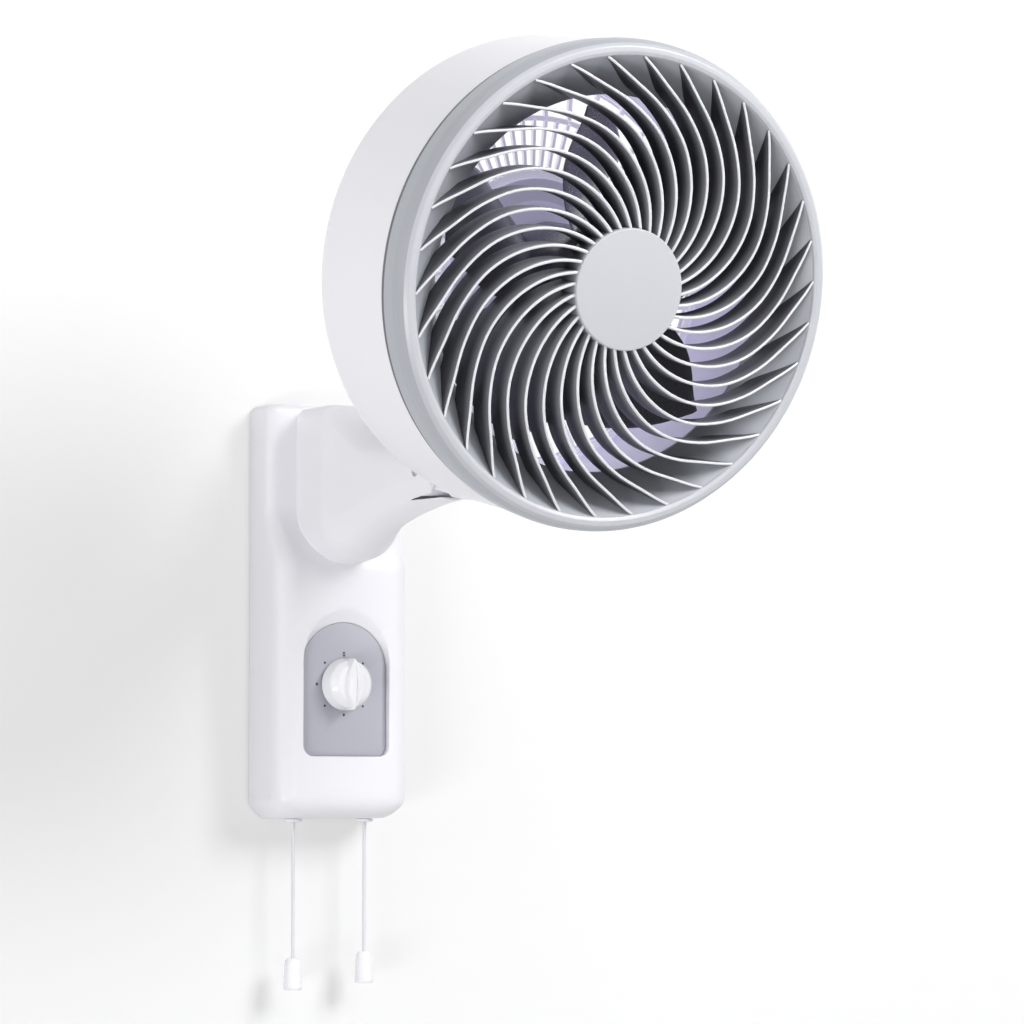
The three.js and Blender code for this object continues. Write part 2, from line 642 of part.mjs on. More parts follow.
// The angle that a rib has swept through, counter-clockwise seen from the front, at a radius.
const ribSweep = new THREE.SplineCurve([
  new THREE.Vector2(RIB.hub - 1.6, -0.01),
  new THREE.Vector2(56, 0.185),
  new THREE.Vector2(88, 0.5),
  new THREE.Vector2(105, 0.715),
  new THREE.Vector2(117, 0.87),
  new THREE.Vector2(RIB.tip + 0.6, 1),
]);
const funnelDepth = (radius) => Math.max(0.6, ((RING.lip - radius) / 23) * 20 + 0.6);

// One rib as a thin deep strip: front edge on a shallow dome, rear edge on the funnel.
function rib(turn) {
  const loops = [];
  const steps = 6;
  for (let i = 0; i <= steps; i++) {
    const p = ribSweep.getPoint(i / steps);
    const ahead = ribSweep.getPoint(Math.min(i / steps + 0.02, 1));
    const behind = ribSweep.getPoint(Math.max(i / steps - 0.02, 0));
    const angle = (turn + p.y * RIB.sweep) * DEG;
    const radial = ahead.x - behind.x;
    const round = p.x * (ahead.y - behind.y) * RIB.sweep * DEG;
    const length = Math.hypot(radial, round);
    // the side of the strip, square to its run
    const side = [-round / length, radial / length];
    const out = [Math.cos(angle), Math.sin(angle)];
    const across = [
      side[0] * out[0] - side[1] * out[1],
      side[0] * out[1] + side[1] * out[0],
    ];
    const share = (p.x - RIB.hub) / (RIB.tip - RIB.hub);
    const front = (RIB.hubFront + 1.6) * (1 - Math.max(share, 0) ** 2.2);
    const rear = Math.min(front + RIB.depth, Math.max(funnelDepth(p.x) + 0.8, front + 1));
    const half = lerp(RIB.thick, RIB.thick * 0.8, share) / 2;
    const corner = (s, y) => [p.x * out[0] + across[0] * s * half, y, p.x * out[1] + across[1] * s * half];
    loops.push([corner(-1, front), corner(1, front), corner(1, rear), corner(-1, rear)]);
  }
  return loft(loops);
}

function frontGrille() {
  const { radius: r, lip, back } = RING;
  const ring = turned(
    [
      [108, 21.2], [lip - 0.6, 1.2], [lip + 1.4, -0.8], [r - 4, -0.6], [r - 1.4, 2.4], [r, 8],
      [r - 0.4, 18], [r - 1.4, back], [r - 4.6, back], [r - 3.4, 8], [r - 6, 3], [lip + 1.6, 3],
      [110, 23.4], [108, 23.4],
    ],
    SEAM,
  );
  const hub = turned(
    [
      [0, RIB.hubFront], [RIB.hub - 0.8, RIB.hubFront], [RIB.hub, RIB.hubFront + 0.8], [RIB.hub, 8],
      [RIB.hub - 2, 8], [RIB.hub - 2, RIB.hubFront + 2.4], [0, RIB.hubFront + 2.4],
    ],
    32,
  );
  const ribs = [];
  for (let i = 0; i < RIB.count; i++) ribs.push(rib(RIB.first + (i * 360) / RIB.count));
  return join(wasm.Manifold.union(ribs), ring, hub);
}

// Radial slats between a hub ring, a middle ring and a rim.
function rearGuard() {
  const { front, thick, slats, bore: boreRadius, hub, ring, rim } = GUARD;
  const disc = new THREE.Shape();
  disc.absarc(0, 0, rim, 0, 2 * Math.PI, false);
  const bore = new THREE.Path();
  bore.absarc(0, 0, boreRadius, 0, 2 * Math.PI, true);
  disc.holes.push(bore);
  for (const a of motorScrewAngles) {
    const hole = new THREE.Path();
    hole.absarc(
      MOTOR.screwCircle * Math.cos(a * DEG), MOTOR.screwCircle * Math.sin(a * DEG), 2, 0, 2 * Math.PI, true,
    );
    disc.holes.push(hole);
  }
  const rings = [[hub, ring - 1.5, slats, 0.9], [ring + 1.5, rim - 4, slats / 2, 1.2]];
  for (const [inner, outer, count, slat] of rings)
    for (let i = 0; i < count; i++) {
      const pitch = 360 / count;
      const window = [];
      for (const [radius, side] of [[inner, -1], [outer, -1], [outer, 1], [inner, 1]]) {
        const a = (i * pitch + (side * pitch) / 2) * DEG - (side * slat) / radius;
        window.push(new THREE.Vector2(radius * Math.cos(a), radius * Math.sin(a)));
      }
      disc.holes.push(new THREE.Path(window));
    }
  const g = new THREE.ExtrudeGeometry(disc, { depth: thick, bevelEnabled: false, curveSegments: 16 });
  // the shape's y becomes Z, and its depth runs to the rear
  g.rotateX(-Math.PI / 2).scale(1, 1, -1).translate(0, front, 0);
  return solid(g);
}

// The angles of a blade's two edges, in degrees past its own zero, read off at [radius, angle].
const trailingEdge = [
  [29, 39.4], [50, 35.3], [58, 32.5], [71, 27.8], [83, 21.4], [90, 17.2], [95, 15], [102, 13],
];
const leadingEdge = [
  [29, -25], [60, -25.5], [83, -27], [88, -19.5], [93, -11.5], [98, -2], [102, 11.5],
];

// One blade: its leading edge is at the rear and low angle, so it drives air forward when the
// impeller turns clockwise, seen from the front. Past the leading corner the tip is cut oblique.
function blade(turn) {
  const { front, back, thick, bow } = BLADE;
  const radii = [29, 52, 70, 83, 93, BLADE.tip];
  const across = 5;
  const place = (radius, t, side) => {
    const high = along(trailingEdge, radius);
    const angle = lerp(high, along(leadingEdge, radius), t);
    const share = (high - angle) / (high + 26);
    const y = lerp(front, back, share) - bow * 4 * t * (1 - t) * (high - angle) / 60 + side * thick;
    const a = (turn + angle) * DEG;
    return [radius * Math.cos(a), y, radius * Math.sin(a)];
  };
  const loops = radii.map((radius) => {
    const loop = [];
    for (let i = 0; i <= across; i++) loop.push(place(radius, i / across, 1));
    for (let i = across; i >= 0; i--) loop.push(place(radius, i / across, -1));
    return loop;
  });
  return strip(loops);
}

// Like a loft, but its end caps follow a bowed, thin section by pairs of points.
function strip(loops) {
  const n = loops[0].length;
  const index = [];
  for (let k = 0; k + 1 < loops.length; k++)
    for (let i = 0; i < n; i++) {
      const a = k * n + i;
      const b = k * n + ((i + 1) % n);
      index.push(a, b, b + n, a, b + n, a + n);
    }
  const last = (loops.length - 1) * n;
  for (let i = 0; i + 1 < n / 2; i++) {
    const [a, b, c, d] = [i, i + 1, n - 2 - i, n - 1 - i];
    index.push(a, c, b, a, d, c);
    index.push(last + a, last + b, last + c, last + a, last + c, last + d);
  }
  const g = new THREE.BufferGeometry();
  g.setAttribute("position", new THREE.Float32BufferAttribute(loops.flat(2), 3));
  g.setIndex(index);
  return solid(g);
}

function impeller() {
  const { count, hub, first } = BLADE;
  const cup = turned(
    [
      [MOTOR.shaft + FIT, 25], [hub - 8, 25], [hub - 1.6, 28], [hub, 32], [hub, 84], [hub - 2.2, 84],
      [hub - 2.2, 34], [hub - 9, 29], [12, 29], [11, 66], [MOTOR.shaft + FIT, 66],
    ],
    24,
  );
  const blades = [];
  for (let i = 0; i < count; i++) blades.push(blade(first + (i * 360) / count));
  const core = turned([[0, 15], [hub - 2, 15], [hub - 2, 100], [0, 100]], 24);
  return join(cup, ...blades.map((b) => b.subtract(core)));
}

function spinnerNut() {
  return turned(
    [[0, 16], [9, 16], [12.5, 18], [14, 24.6], [5.6, 24.6], [4.3, 23], [4.3, 19], [0, 19]], 12,
  );
}

const motorShaft = () => join(
  rodY(MOTOR.shaft, 19.4, 144, 0, 0, 16),
  cut(rodY(MOTOR.shaft + 1.6, 66.5, 69, 0, 0, 16)),
);

function rotor() {
  return cut(
    turned([[0, 102], [17, 102], [17, 99], [19.4, 99], [19.4, 131], [17, 131], [17, 128], [0, 128]], 24),
    rodY(MOTOR.shaft + FIT, 90, 140, 0, 0, 16),
  );
}

function stator() {
  const core = turned([[20.4, 103], [38.3, 103], [38.3, 127], [20.4, 127]], 28);
  const coils = [100.7, 129.3].map((y) =>
    turned([[22.5, y - 1.9], [33, y - 1.9], [33, y + 1.9], [22.5, y + 1.9]], 20));
  return [core, coils];
}

// Front end shield: a cone that carries the front bearing and the motor on the guard.
function frontShield() {
  const shell = turned(
    [
      [8.3, 84], [14, 84], [15.5, 88], [31, 91.5], [40.5, 98], [MOTOR.radius, 104], [MOTOR.radius, 114],
      [39.4, 114], [39.4, 104.6], [38, 99.6], [30, 94.4], [14, 91.4], [12, 92], [8.3, 92],
    ],
    24,
  );
  const onCircle = (radius, y0, y1, a) =>
    rodY(radius, y0, y1, MOTOR.screwCircle * Math.cos(a * DEG), MOTOR.screwCircle * Math.sin(a * DEG), 8);
  const bosses = motorScrewAngles.map((a) => onCircle(4.4, 95, 102.8, a));
  const flange = turned([[39.4, 99.8], [MOTOR.flange, 99.8], [MOTOR.flange, 102.8], [39.4, 102.8]], 24);
  const pilots = motorScrewAngles.map((a) => onCircle(1.5, 97, 105, a));
  return cut(join(shell, flange, ...bosses), ...pilots);
}

function rearShield() {
  return turned(
    [
      [8.3, 136], [8.3, 144], [12, 144], [14, 139.6], [30, 137.4], [38, 133], [MOTOR.radius, 128],
      [MOTOR.radius, 116], [39.4, 116], [39.4, 127.6], [36, 131], [29, 134], [12, 136],
    ],
    24,
  );
}

const bearing = (y) => turned([[MOTOR.shaft + FIT, y], [8, y], [8, y + 6], [MOTOR.shaft + FIT, y + 6]], 16);

// The shell behind the guard that covers the motor and the swing motor.
function motorCover() {
  const { radius: r, front, back, floor } = COVER;
  const skin = (s) => [
    [0, back - s], [20 - s * 0.4, back - s], [32 - s * 0.6, back - 2.6 - s], [40 - s, back - 7.4 - s * 0.4],
    [44.4 - s, back - 13], [r - s, back - 19],
  ];
  const outer = turned([...skin(0), [r, front], [0, front]], 24);
  const inner = turned([...skin(2.4), [r - 2.4, front - 3], [0, front - 3]], 24);
  const below = block(-60, 60, 90, 220, -80, floor);
  const insideBelow = block(-60, 60, 90, 220, -80, floor + 2.4);
  const rim = MOTOR.flange;
  const flange = turned([[r - 1, front], [rim, front], [rim, front + 3], [r - 1, front + 3]], 24);
  const shell = cut(cut(outer, below), cut(inner, insideBelow));
  const opening = block(-20, 20, 138, back - 16, -50, floor + 5);
  const vents = [-24, -16, -8, 0, 8, 16, 24].map((x) => block(x - 1.6, x + 1.6, 196, 210, -14, 22));
  const holes = motorScrewAngles.map((a) =>
    rodY(1.9, 100, 115, MOTOR.screwCircle * Math.cos(a * DEG), MOTOR.screwCircle * Math.sin(a * DEG), 8));
  return cut(join(shell, cut(flange, below)), opening, ...vents, ...holes);
}

function swingMotor() {
  const can = rodZ(15, -46.6, -31, 0, PINION_Y, 28);
  const boss = rodZ(4, -47.2, -46.4, 0, PINION_Y, 12);
  return cut(join(can, boss), rodZ(1.4 + FIT, -50, -42, 0, PINION_Y, 12));
}

const pivotClip = () => cut(
  rodZ(7.6, -46, -44.8, 0, SWING.y, 16),
  rodZ(SWING.post + FIT, -50, -40, 0, SWING.y, 20),
);

// ---------------------------------------------------------------- assembly

const fan = new THREE.Group();

// wall box
placed(fan, {
  wall_plate: [wallPlate(), steel],
  front_cover: [frontCover(), whitePlastic],
  control_plate: [controlPlate(), plateGrey],
  rotary_switch: [rotarySwitch(), blackPlastic],
  terminal_block: [terminalBlock(), nylon],
  run_capacitor: [runCapacitor(), blackPlastic],
  inlet_grommet: [inletGrommet(), rubber],
});
coverScrews.forEach(([x, z], i) =>
  placed(fan, { [`cover_screw_${i + 1}`]: [screwY(x, z, -0.2, -1, 14), steel] }));
switchScrews.forEach(([x, z], i) =>
  placed(fan, { [`switch_screw_${i + 1}`]: [screwY(x, z, -25, -1, 8, 2.6), steel] }));

// knob
const knob = new THREE.Group();
knob.position.set(0, 0, DIAL.z);
placed(knob, {
  knob: [knobBody(), whitePlastic],
  knob_shaft: [knobShaft(), brass],
});
fan.add(knob);

// pull cords
for (const [side, x] of [["left", -PULL.x], ["right", PULL.x]]) {
  const bottom = BELL_BOTTOM[side];
  placed(fan, {
    [`pull_switch_${side}`]: [pullSwitch(x), blackPlastic],
    [`cord_bush_${side}`]: [cordBush(x), nylon],
    [`pull_slider_${side}`]: [pullSlider(x), nylon],
    [`pull_spring_${side}`]: [pullSpring(x), steel],
    [`pull_cord_${side}`]: [pullCord(x, bottom), cordWhite],
    [`pull_bell_${side}`]: [bell(x, bottom), whitePlastic],
  });
}

// arm
placed(fan, {
  arm: [armShell(), whitePlastic],
  tilt_pin: [rodX(PIN_RADIUS, -17.2, 17.2, KNUCKLE.y, KNUCKLE.z, 16), steel],
});
armScrews.forEach(([x, z], i) =>
  placed(fan, { [`arm_screw_${i + 1}`]: [screwY(x, z, -22.4, -1, 13, 3.2), steel] }));

// neck and head
const head = new THREE.Group();
head.position.set(0, HEAD.y, HEAD.z);
head.rotation.x = HEAD.tilt * DEG;
const [statorCore, windings] = stator();
placed(head, {
  neck: [neckBody(), whitePlastic],
  sector_gear: [sectorGear(), nylon],
  swing_pinion: [swingPinion(), nylon],
  swing_bracket: [swingBracket(), castAluminium],
  swing_motor: [swingMotor(), steel],
  gear_cover: [gearCover(), whitePlastic],
  pivot_clip: [pivotClip(), darkSteel],
  motor_cover: [motorCover(), whitePlastic],
  motor_front_shield: [frontShield(), whitePlastic],
  motor_rear_shield: [rearShield(), castAluminium],
  stator_core: [statorCore, darkSteel],
  winding_front: [windings[0], copper],
  winding_rear: [windings[1], copper],
  bearing_front: [bearing(85), steel],
  bearing_rear: [bearing(137), steel],
  rear_guard: [rearGuard(), whitePlastic],
  drum: [drumShell(), whitePlastic],
  front_grille: [frontGrille(), greyPlastic],
  impeller: [impeller(), bladeGrey],
  spinner_nut: [spinnerNut(), bladeGrey],
  motor_shaft: [motorShaft(), steel],
  rotor: [rotor(), darkSteel],
});
motorScrewAngles.forEach((a, i) => {
  const [x, z] = [MOTOR.screwCircle * Math.cos(a * DEG), MOTOR.screwCircle * Math.sin(a * DEG)];
  placed(head, { [`motor_screw_${i + 1}`]: [screwY(x, z, COVER.front + 4.8, -1, 12, 3), steel] });
});
fan.add(head);

export default fan;
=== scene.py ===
"""A wall mounted fan: wall box with dial and pull cords, arm, tilting neck and a drum-shaped head.

Shapes are worked out in millimetres in the wall's frame (air blown towards -Y, +Z up) or in the
head's own frame (origin at the middle of the rib tips, +Y along the shaft to the rear)."""
import math

import bmesh
import bpy
import numpy as np
from mathutils import Matrix, Vector


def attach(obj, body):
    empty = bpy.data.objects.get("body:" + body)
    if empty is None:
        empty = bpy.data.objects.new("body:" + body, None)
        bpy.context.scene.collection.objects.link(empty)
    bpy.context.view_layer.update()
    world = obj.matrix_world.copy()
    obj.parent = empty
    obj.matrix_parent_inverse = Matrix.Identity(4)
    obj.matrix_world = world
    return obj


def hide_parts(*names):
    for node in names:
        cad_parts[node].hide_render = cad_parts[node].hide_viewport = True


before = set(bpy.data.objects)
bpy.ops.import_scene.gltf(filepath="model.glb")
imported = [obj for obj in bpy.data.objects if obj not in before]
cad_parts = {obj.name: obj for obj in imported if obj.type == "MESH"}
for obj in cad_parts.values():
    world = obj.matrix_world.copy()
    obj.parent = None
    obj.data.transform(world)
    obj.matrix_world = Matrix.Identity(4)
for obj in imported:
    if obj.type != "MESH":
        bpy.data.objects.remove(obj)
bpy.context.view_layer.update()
MM = 0.001
TAU = 2 * math.pi

# ---------------------------------------------------------------- camera

VIEW = dict(eye=(-1.1433, -2.2348, -0.1209), aim=(0.1466, 0.0, 0.0711), lens=136.54, sensor=36, far=50)

eye, aim = Vector(VIEW["eye"]), Vector(VIEW["aim"])
camera_data = bpy.data.cameras.new("camera")
camera_data.sensor_width = VIEW["sensor"]
camera_data.lens = VIEW["lens"]
camera_data.clip_end = VIEW["far"]
camera = bpy.data.objects.new("camera", camera_data)
camera.location = eye
camera.rotation_euler = (aim - eye).to_track_quat("-Z", "Y").to_euler()
bpy.context.scene.collection.objects.link(camera)
bpy.context.scene.camera = camera

# ---------------------------------------------------------------- sizes, as in the part

BOX = dict(half=47.5, top=132, bottom=-132, wall=2.4, back=-0.6)
DEPTH = dict(upper=27, lower=44, step_top=66, step_bottom=26)
EDGE = dict(upper=8, lower=14, top=6, bottom=15, chamfer=11)
DIAL = dict(z=-47, half=30.5, top=-7.5, bottom=-92.5, face=-40, thick=1.2)
MARKS = dict(circle=19.3, count=8, dot=0.75, wide=0.95, tall=1.55, inner=0.45)
KNOB = dict(radius=17, back=-40.9, front=-55, grip=5.6, bow=2.4)
SCOOP = dict(reach=8.7, depth=4.25)
LINING = dict(wall=2.6, front=-43.4)
HOLES = dict(cord=4.5, knob=5.6, plate=5, pin=4.25)
PULL = dict(x=25.5, y=-20, cord=2.2, radius=6.1, height=20.5, top=-117.4, knot=3.4)
BELL_BOTTOM = {"left": -240.4, "right": -237}
KNUCKLE = dict(y=-167, z=80, radius=18, inside=12.6, web_top=62.6, web_end=-181)
HEAD = dict(y=-377, z=168.3, tilt=12)
RING = dict(radius=140.5, lip=131, back=26)
RIB = dict(count=34, first=-1.7, sweep=60, hub=34.8, tip=130.2, thick=1.9, depth=18, front=-9.9)
DRUM = dict(radius=138.5, front=27, back=110, edge=12, wall=2.4, bore=117.5)
GUARD = dict(front=103.2, thick=3, inner_slats=72, outer_slats=36, bore=43, hub=60, ring=90, rim=116.8)
BLADE = dict(count=5, hub=31, tip=102, front=24, back=78, first=16.5)
MOTOR = dict(radius=42, circle=50.5, flange=55, screws=4, first_screw=45)
COVER = dict(radius=46, front=106.6, back=206, floor=-45.6, wall=2.4)
SWING = dict(y=150)

to_metres = Matrix.Diagonal((MM, MM, MM, 1))
wall_place = Matrix.Identity(4)
head_place = (
    Matrix.Translation((0, HEAD["y"], HEAD["z"])) @ Matrix.Rotation(math.radians(HEAD["tilt"]), 4, "X")
)

# ---------------------------------------------------------------- materials


class Field:
    """A value that changes over a surface: sums and products of it read as plain arithmetic."""

    def __init__(self, tree, socket):
        self.tree, self.socket = tree, socket

    def maths(self, operation, *values):
        node = self.tree.nodes.new("ShaderNodeMath")
        node.operation = operation
        for slot, value in zip(node.inputs, values):
            if isinstance(value, Field):
                self.tree.links.new(value.socket, slot)
            else:
                slot.default_value = value
        return Field(self.tree, node.outputs[0])

    def __add__(self, other): return self.maths("ADD", self, other)
    def __radd__(self, other): return self.maths("ADD", other, self)
    def __sub__(self, other): return self.maths("SUBTRACT", self, other)
    def __rsub__(self, other): return self.maths("SUBTRACT", other, self)
    def __mul__(self, other): return self.maths("MULTIPLY", self, other)
    def __rmul__(self, other): return self.maths("MULTIPLY", other, self)
    def __truediv__(self, other): return self.maths("DIVIDE", self, other)
    def __pow__(self, other): return self.maths("POWER", self, other)
    def sine(self): return self.maths("SINE", self)
    def clamp(self): return self.maths("MINIMUM", self.maths("MAXIMUM", self, 0), 1)


class Finish:
    """One material: its fixed numbers sit on the shader, its surface detail is made of nodes."""

    def __init__(self, name, **fixed):
        self.material = bpy.data.materials.new(name)
        self.material.use_nodes = True
        self.tree = self.material.node_tree
        self.shader = self.tree.nodes["Principled BSDF"]
        for key, value in fixed.items():
            self.shader.inputs[key.replace("_", " ")].default_value = value
        self.place = self.node("ShaderNodeTexCoord", output="Object")

    def node(self, kind, settings=(), output=0, **values):
        made = self.tree.nodes.new(kind)
        for key, value in dict(settings).items():
            setattr(made, key, value)
        for key, value in values.items():
            socket = made.inputs[int(key[1:])] if key[0] == "_" else made.inputs[key.replace("_", " ")]
            if isinstance(value, Field):
                self.tree.links.new(value.socket, socket)
            else:
                socket.default_value = value
        return Field(self.tree, made.outputs[output])

    def noise(self, scale, detail=3.0, roughness=0.5):
        return self.node(
            "ShaderNodeTexNoise", Vector=self.place, Scale=scale, Detail=detail, Roughness=roughness,
        )

    def mix(self, share, first, second):
        return self.node("ShaderNodeMix", {"data_type": "RGBA"}, output=2, _0=share, _6=first, _7=second)

    def wire(self, socket, field):
        self.tree.links.new(field.socket, self.shader.inputs[socket])
        return self

    def relief(self, height, depth, distance):
        """Surface relief: height is 0 to 1, depth its strength."""
        bump = self.node("ShaderNodeBump", Height=height, Strength=depth, Distance=distance)
        return self.wire("Normal", bump)

    def spread(self, field, low, high):
        return field * (high - low) + low


def tint(r, g, b):
    """A colour as a screen shows it, 0 to 255, in the shader's own linear numbers."""
    return tuple(((v / 255 + 0.055) / 1.055) ** 2.4 for v in (r, g, b)) + (1.0,)


GRAIN_DEPTH = 0.0004


def moulded(name, colour, rough, grain=900.0, depth=0.05, coat=0.0, through=0.0):
    """Moulded plastic: a faint cast in colour, a fine skin texture and softly uneven gloss.

    through is the strength of a painted glow in the plastic's own colour, standing in for light from the far
    side of a thin wall."""
    tone, gloss_grain, gloss_cloud = 0.02, 0.04, 0.06
    f = Finish(name, Roughness=rough, Coat_Weight=coat, Coat_Roughness=0.15)
    # painted glow: the plastic gives off its own colour as light, though it is no lamp
    if through:
        f.shader.inputs["Emission Color"].default_value = colour
        f.shader.inputs["Emission Strength"].default_value = through
    cloud = f.noise(9.0, 2.0)
    light = tuple(min(1.0, c * (1 + tone)) for c in colour[:3]) + (1,)
    dark = tuple(c * (1 - tone) for c in colour[:3]) + (1,)
    f.wire("Base Color", f.mix(cloud, dark, light))
    skin = f.noise(grain, 2.0, 0.6)
    gloss = f.spread(skin, rough - gloss_grain, rough + gloss_grain)
    f.wire("Roughness", gloss + (cloud - 0.5) * gloss_cloud)
    return f.relief(skin, depth, GRAIN_DEPTH).material


def metal(name, colour, rough, streak=(40.0, 2200.0, 40.0), depth=0.08):
    """Plated or turned metal: fine streaks in the gloss and a little staining."""
    f = Finish(name, Metallic=1.0, Roughness=rough)
    run = f.node("ShaderNodeMapping", Vector=f.place, Scale=streak)
    streaks = f.node("ShaderNodeTexNoise", Vector=run, Scale=1.0, Detail=2.0)
    stain = f.noise(60.0, 4.0)
    dark = tuple(c * 0.78 for c in colour[:3]) + (1,)
    f.wire("Base Color", f.mix(stain, colour, dark))
    f.wire("Roughness", f.spread(streaks, rough - 0.08, rough + 0.12))
    return f.relief(streaks, depth, 0.0003).material


WHITE = tint(240, 239, 244)
white_shell = moulded("white_shell_plastic", WHITE, 0.36, coat=0.12)
white_knob = moulded("white_knob_plastic", tint(246, 246, 249), 0.24, depth=0.02, coat=0.4)
white_bell = moulded("white_bell_plastic", tint(243, 243, 247), 0.28, depth=0.03, coat=0.2)
# the rear guard's white plastic, with a painted glow
guard_white_painted_glow = moulded("white_guard_plastic_with_painted_glow", tint(236, 234, 246), 0.4, through=0.3)
# the duct's inner wall: white plastic given a lilac tint as painted shade, and a painted glow
duct_painted_shade_and_glow = moulded("duct_plastic_with_painted_shade_and_glow", tint(206, 202, 228), 0.36, coat=0.1, through=0.3)
ring_grey = moulded("grey_ring_plastic", tint(170, 174, 181), 0.34, depth=0.04, coat=0.1)
# painted highlight: a paler grey for the front ring's bead, where the front light falls
bead_painted_highlight = moulded("painted_highlight_on_ring_bead", tint(192, 194, 200), 0.34, depth=0.04, coat=0.1)
# painted shade: a dark grey for the groove between drum and ring
seam_painted_shade = moulded("painted_shade_in_ring_seam", tint(98, 100, 107), 0.5, depth=0.05)
# painted highlight: a pale grey for the ribs' forward-facing faces, where the front light falls
rib_edge_painted_highlight = moulded("painted_highlight_on_rib_edges", tint(224, 225, 229), 0.3, depth=0.02, coat=0.2)
disc_grey = moulded("pale_disc_plastic", tint(194, 195, 200), 0.42, depth=0.05)
blade_smoke = moulded("smoke_blade_plastic", tint(98, 98, 103), 0.26, depth=0.03, coat=0.3)
# the motor's front shield: white plastic given a lilac tint as painted shade, and a painted glow
motor_painted_shade_and_glow = moulded("motor_housing_with_painted_shade_and_glow", tint(200, 198, 220), 0.3, coat=0.2, through=0.28)
nylon = moulded("natural_nylon", tint(232, 231, 224), 0.5, grain=500.0, depth=0.06)
black_case = moulded("black_switch_plastic", tint(34, 34, 37), 0.5, grain=700.0, depth=0.1)
rubber = moulded("black_rubber", tint(40, 40, 42), 0.75, grain=420.0, depth=0.2)
steel = metal("plated_steel", (0.60, 0.61, 0.63, 1), 0.3)
dark_steel = metal("dark_steel", (0.24, 0.245, 0.25, 1), 0.42)
cast_metal = metal("cast_aluminium", (0.52, 0.53, 0.55, 1), 0.5, (300.0, 300.0, 300.0), 0.25)
brass = metal("turned_brass", (0.70, 0.50, 0.20, 1), 0.28)


def plate_material():
    """The control plate: cool grey with a fine sandblasted grain."""
    f = Finish("grey_dial_plate", Roughness=0.5)
    grain = f.noise(1500.0, 2.0, 0.7)
    cloud = f.noise(18.0, 2.0)
    shade = f.mix(grain, tint(172, 172, 183), tint(188, 188, 198))
    f.wire("Base Color", f.mix(cloud * 0.25, shade, tint(176, 177, 188)))
    f.wire("Roughness", f.spread(grain, 0.42, 0.6))
    return f.relief(grain, 0.16, 0.0003).material


def ink_material():
    """Printed marks: a dark ink, thin enough for the plate's grain to show."""
    f = Finish("dial_ink", Roughness=0.55)
    grain = f.noise(1500.0, 2.0, 0.7)
    f.wire("Base Color", f.mix(grain, tint(38, 38, 44), tint(58, 58, 64)))
    f.wire("Roughness", f.spread(grain, 0.5, 0.65))
    return f.relief(grain, 0.1, 0.0003).material


def braid_material():
    """A braided cord: two sets of strands cross along its own length."""
    f = Finish("white_cord_braid", Roughness=0.75)
    uv = f.node("ShaderNodeTexCoord", output="UV")
    x = f.node("ShaderNodeSeparateXYZ", output=0, Vector=uv)
    y = f.node("ShaderNodeSeparateXYZ", output=1, Vector=uv)
    round_it, along_it = 6, 90
    one = ((x * round_it + y * along_it) * TAU).sine()
    other = ((x * round_it - y * along_it) * TAU).sine()
    weave = (one * other) * 0.5 + 0.5
    f.wire("Base Color", f.mix(weave, tint(214, 213, 220), tint(246, 246, 250)))
    f.wire("Roughness", f.spread(weave, 0.85, 0.65))
    return f.relief(weave, 0.5, 0.0003).material


def winding_material():
    """Enamelled copper wire lying side by side round the stator."""
    f = Finish("copper_winding", Metallic=1.0, Roughness=0.35)
    run = f.node("ShaderNodeMapping", Vector=f.place, Scale=(900.0, 900.0, 900.0))
    wires = f.node("ShaderNodeTexWave", Vector=run, Scale=1.0, Distortion=1.5)
    patch = f.noise(70.0, 3.0)
    colour = f.mix(wires, (0.35, 0.13, 0.06, 1), (0.72, 0.33, 0.16, 1))
    f.wire("Base Color", f.mix(patch * 0.4, colour, (0.5, 0.2, 0.08, 1)))
    f.wire("Roughness", f.spread(wires, 0.5, 0.28))
    return f.relief(wires, 0.5, 0.0005).material


def laminate_material():
    """Stacked steel sheets of the motor's core."""
    f = Finish("stator_laminations", Metallic=1.0, Roughness=0.5)
    stack = f.node("ShaderNodeMapping", Vector=f.place, Scale=(0.0, 2000.0, 0.0))
    sheets = f.node("ShaderNodeTexWave", {"bands_direction": "Y"}, Vector=stack, Scale=1.0, Distortion=0.0)
    rust = f.noise(80.0, 4.0)
    colour = f.mix(sheets, (0.10, 0.10, 0.11, 1), (0.24, 0.24, 0.25, 1))
    f.wire("Base Color", f.mix(rust * 0.3, colour, (0.20, 0.12, 0.08, 1)))
    f.wire("Roughness", f.spread(sheets, 0.6, 0.42))
    return f.relief(sheets, 0.5, 0.0003).material


def rib_material():
    """The ribs' flanks: a silver grey with painted shade, darker the deeper it lies behind the front edge.
    """
    f = Finish("grey_rib_plastic_with_painted_shade", Roughness=0.36)
    tilt = math.radians(HEAD["tilt"])
    shaft = (0.0, math.cos(tilt), math.sin(tilt))
    start = shaft[1] * HEAD["y"] * MM + shaft[2] * HEAD["z"] * MM
    ahead, fade = 0.0085, 0.0135
    depth = f.node("ShaderNodeVectorMath", {"operation": "DOT_PRODUCT"}, output=1, _0=f.place, _1=shaft)
    # painted shade: the flanks darken with depth behind the ribs' front edge, standing in for the shade
    # between the ribs
    deep = ((depth - start + ahead) / fade).clamp()
    cloud = f.noise(9.0, 2.0)
    pale = f.mix(cloud, tint(166, 168, 175), tint(172, 174, 181))
    f.wire("Base Color", f.mix(deep ** 0.7, pale, tint(62, 62, 68)))
    skin = f.noise(900.0, 2.0, 0.6)
    f.wire("Roughness", f.spread(skin, 0.32, 0.42))
    return f.relief(skin, 0.04, GRAIN_DEPTH).material


rib_grey_painted_shade = rib_material()
plate_grey = plate_material()
dial_ink = ink_material()
cord_braid = braid_material()
copper_winding = winding_material()
laminations = laminate_material()

# ---------------------------------------------------------------- shape helpers


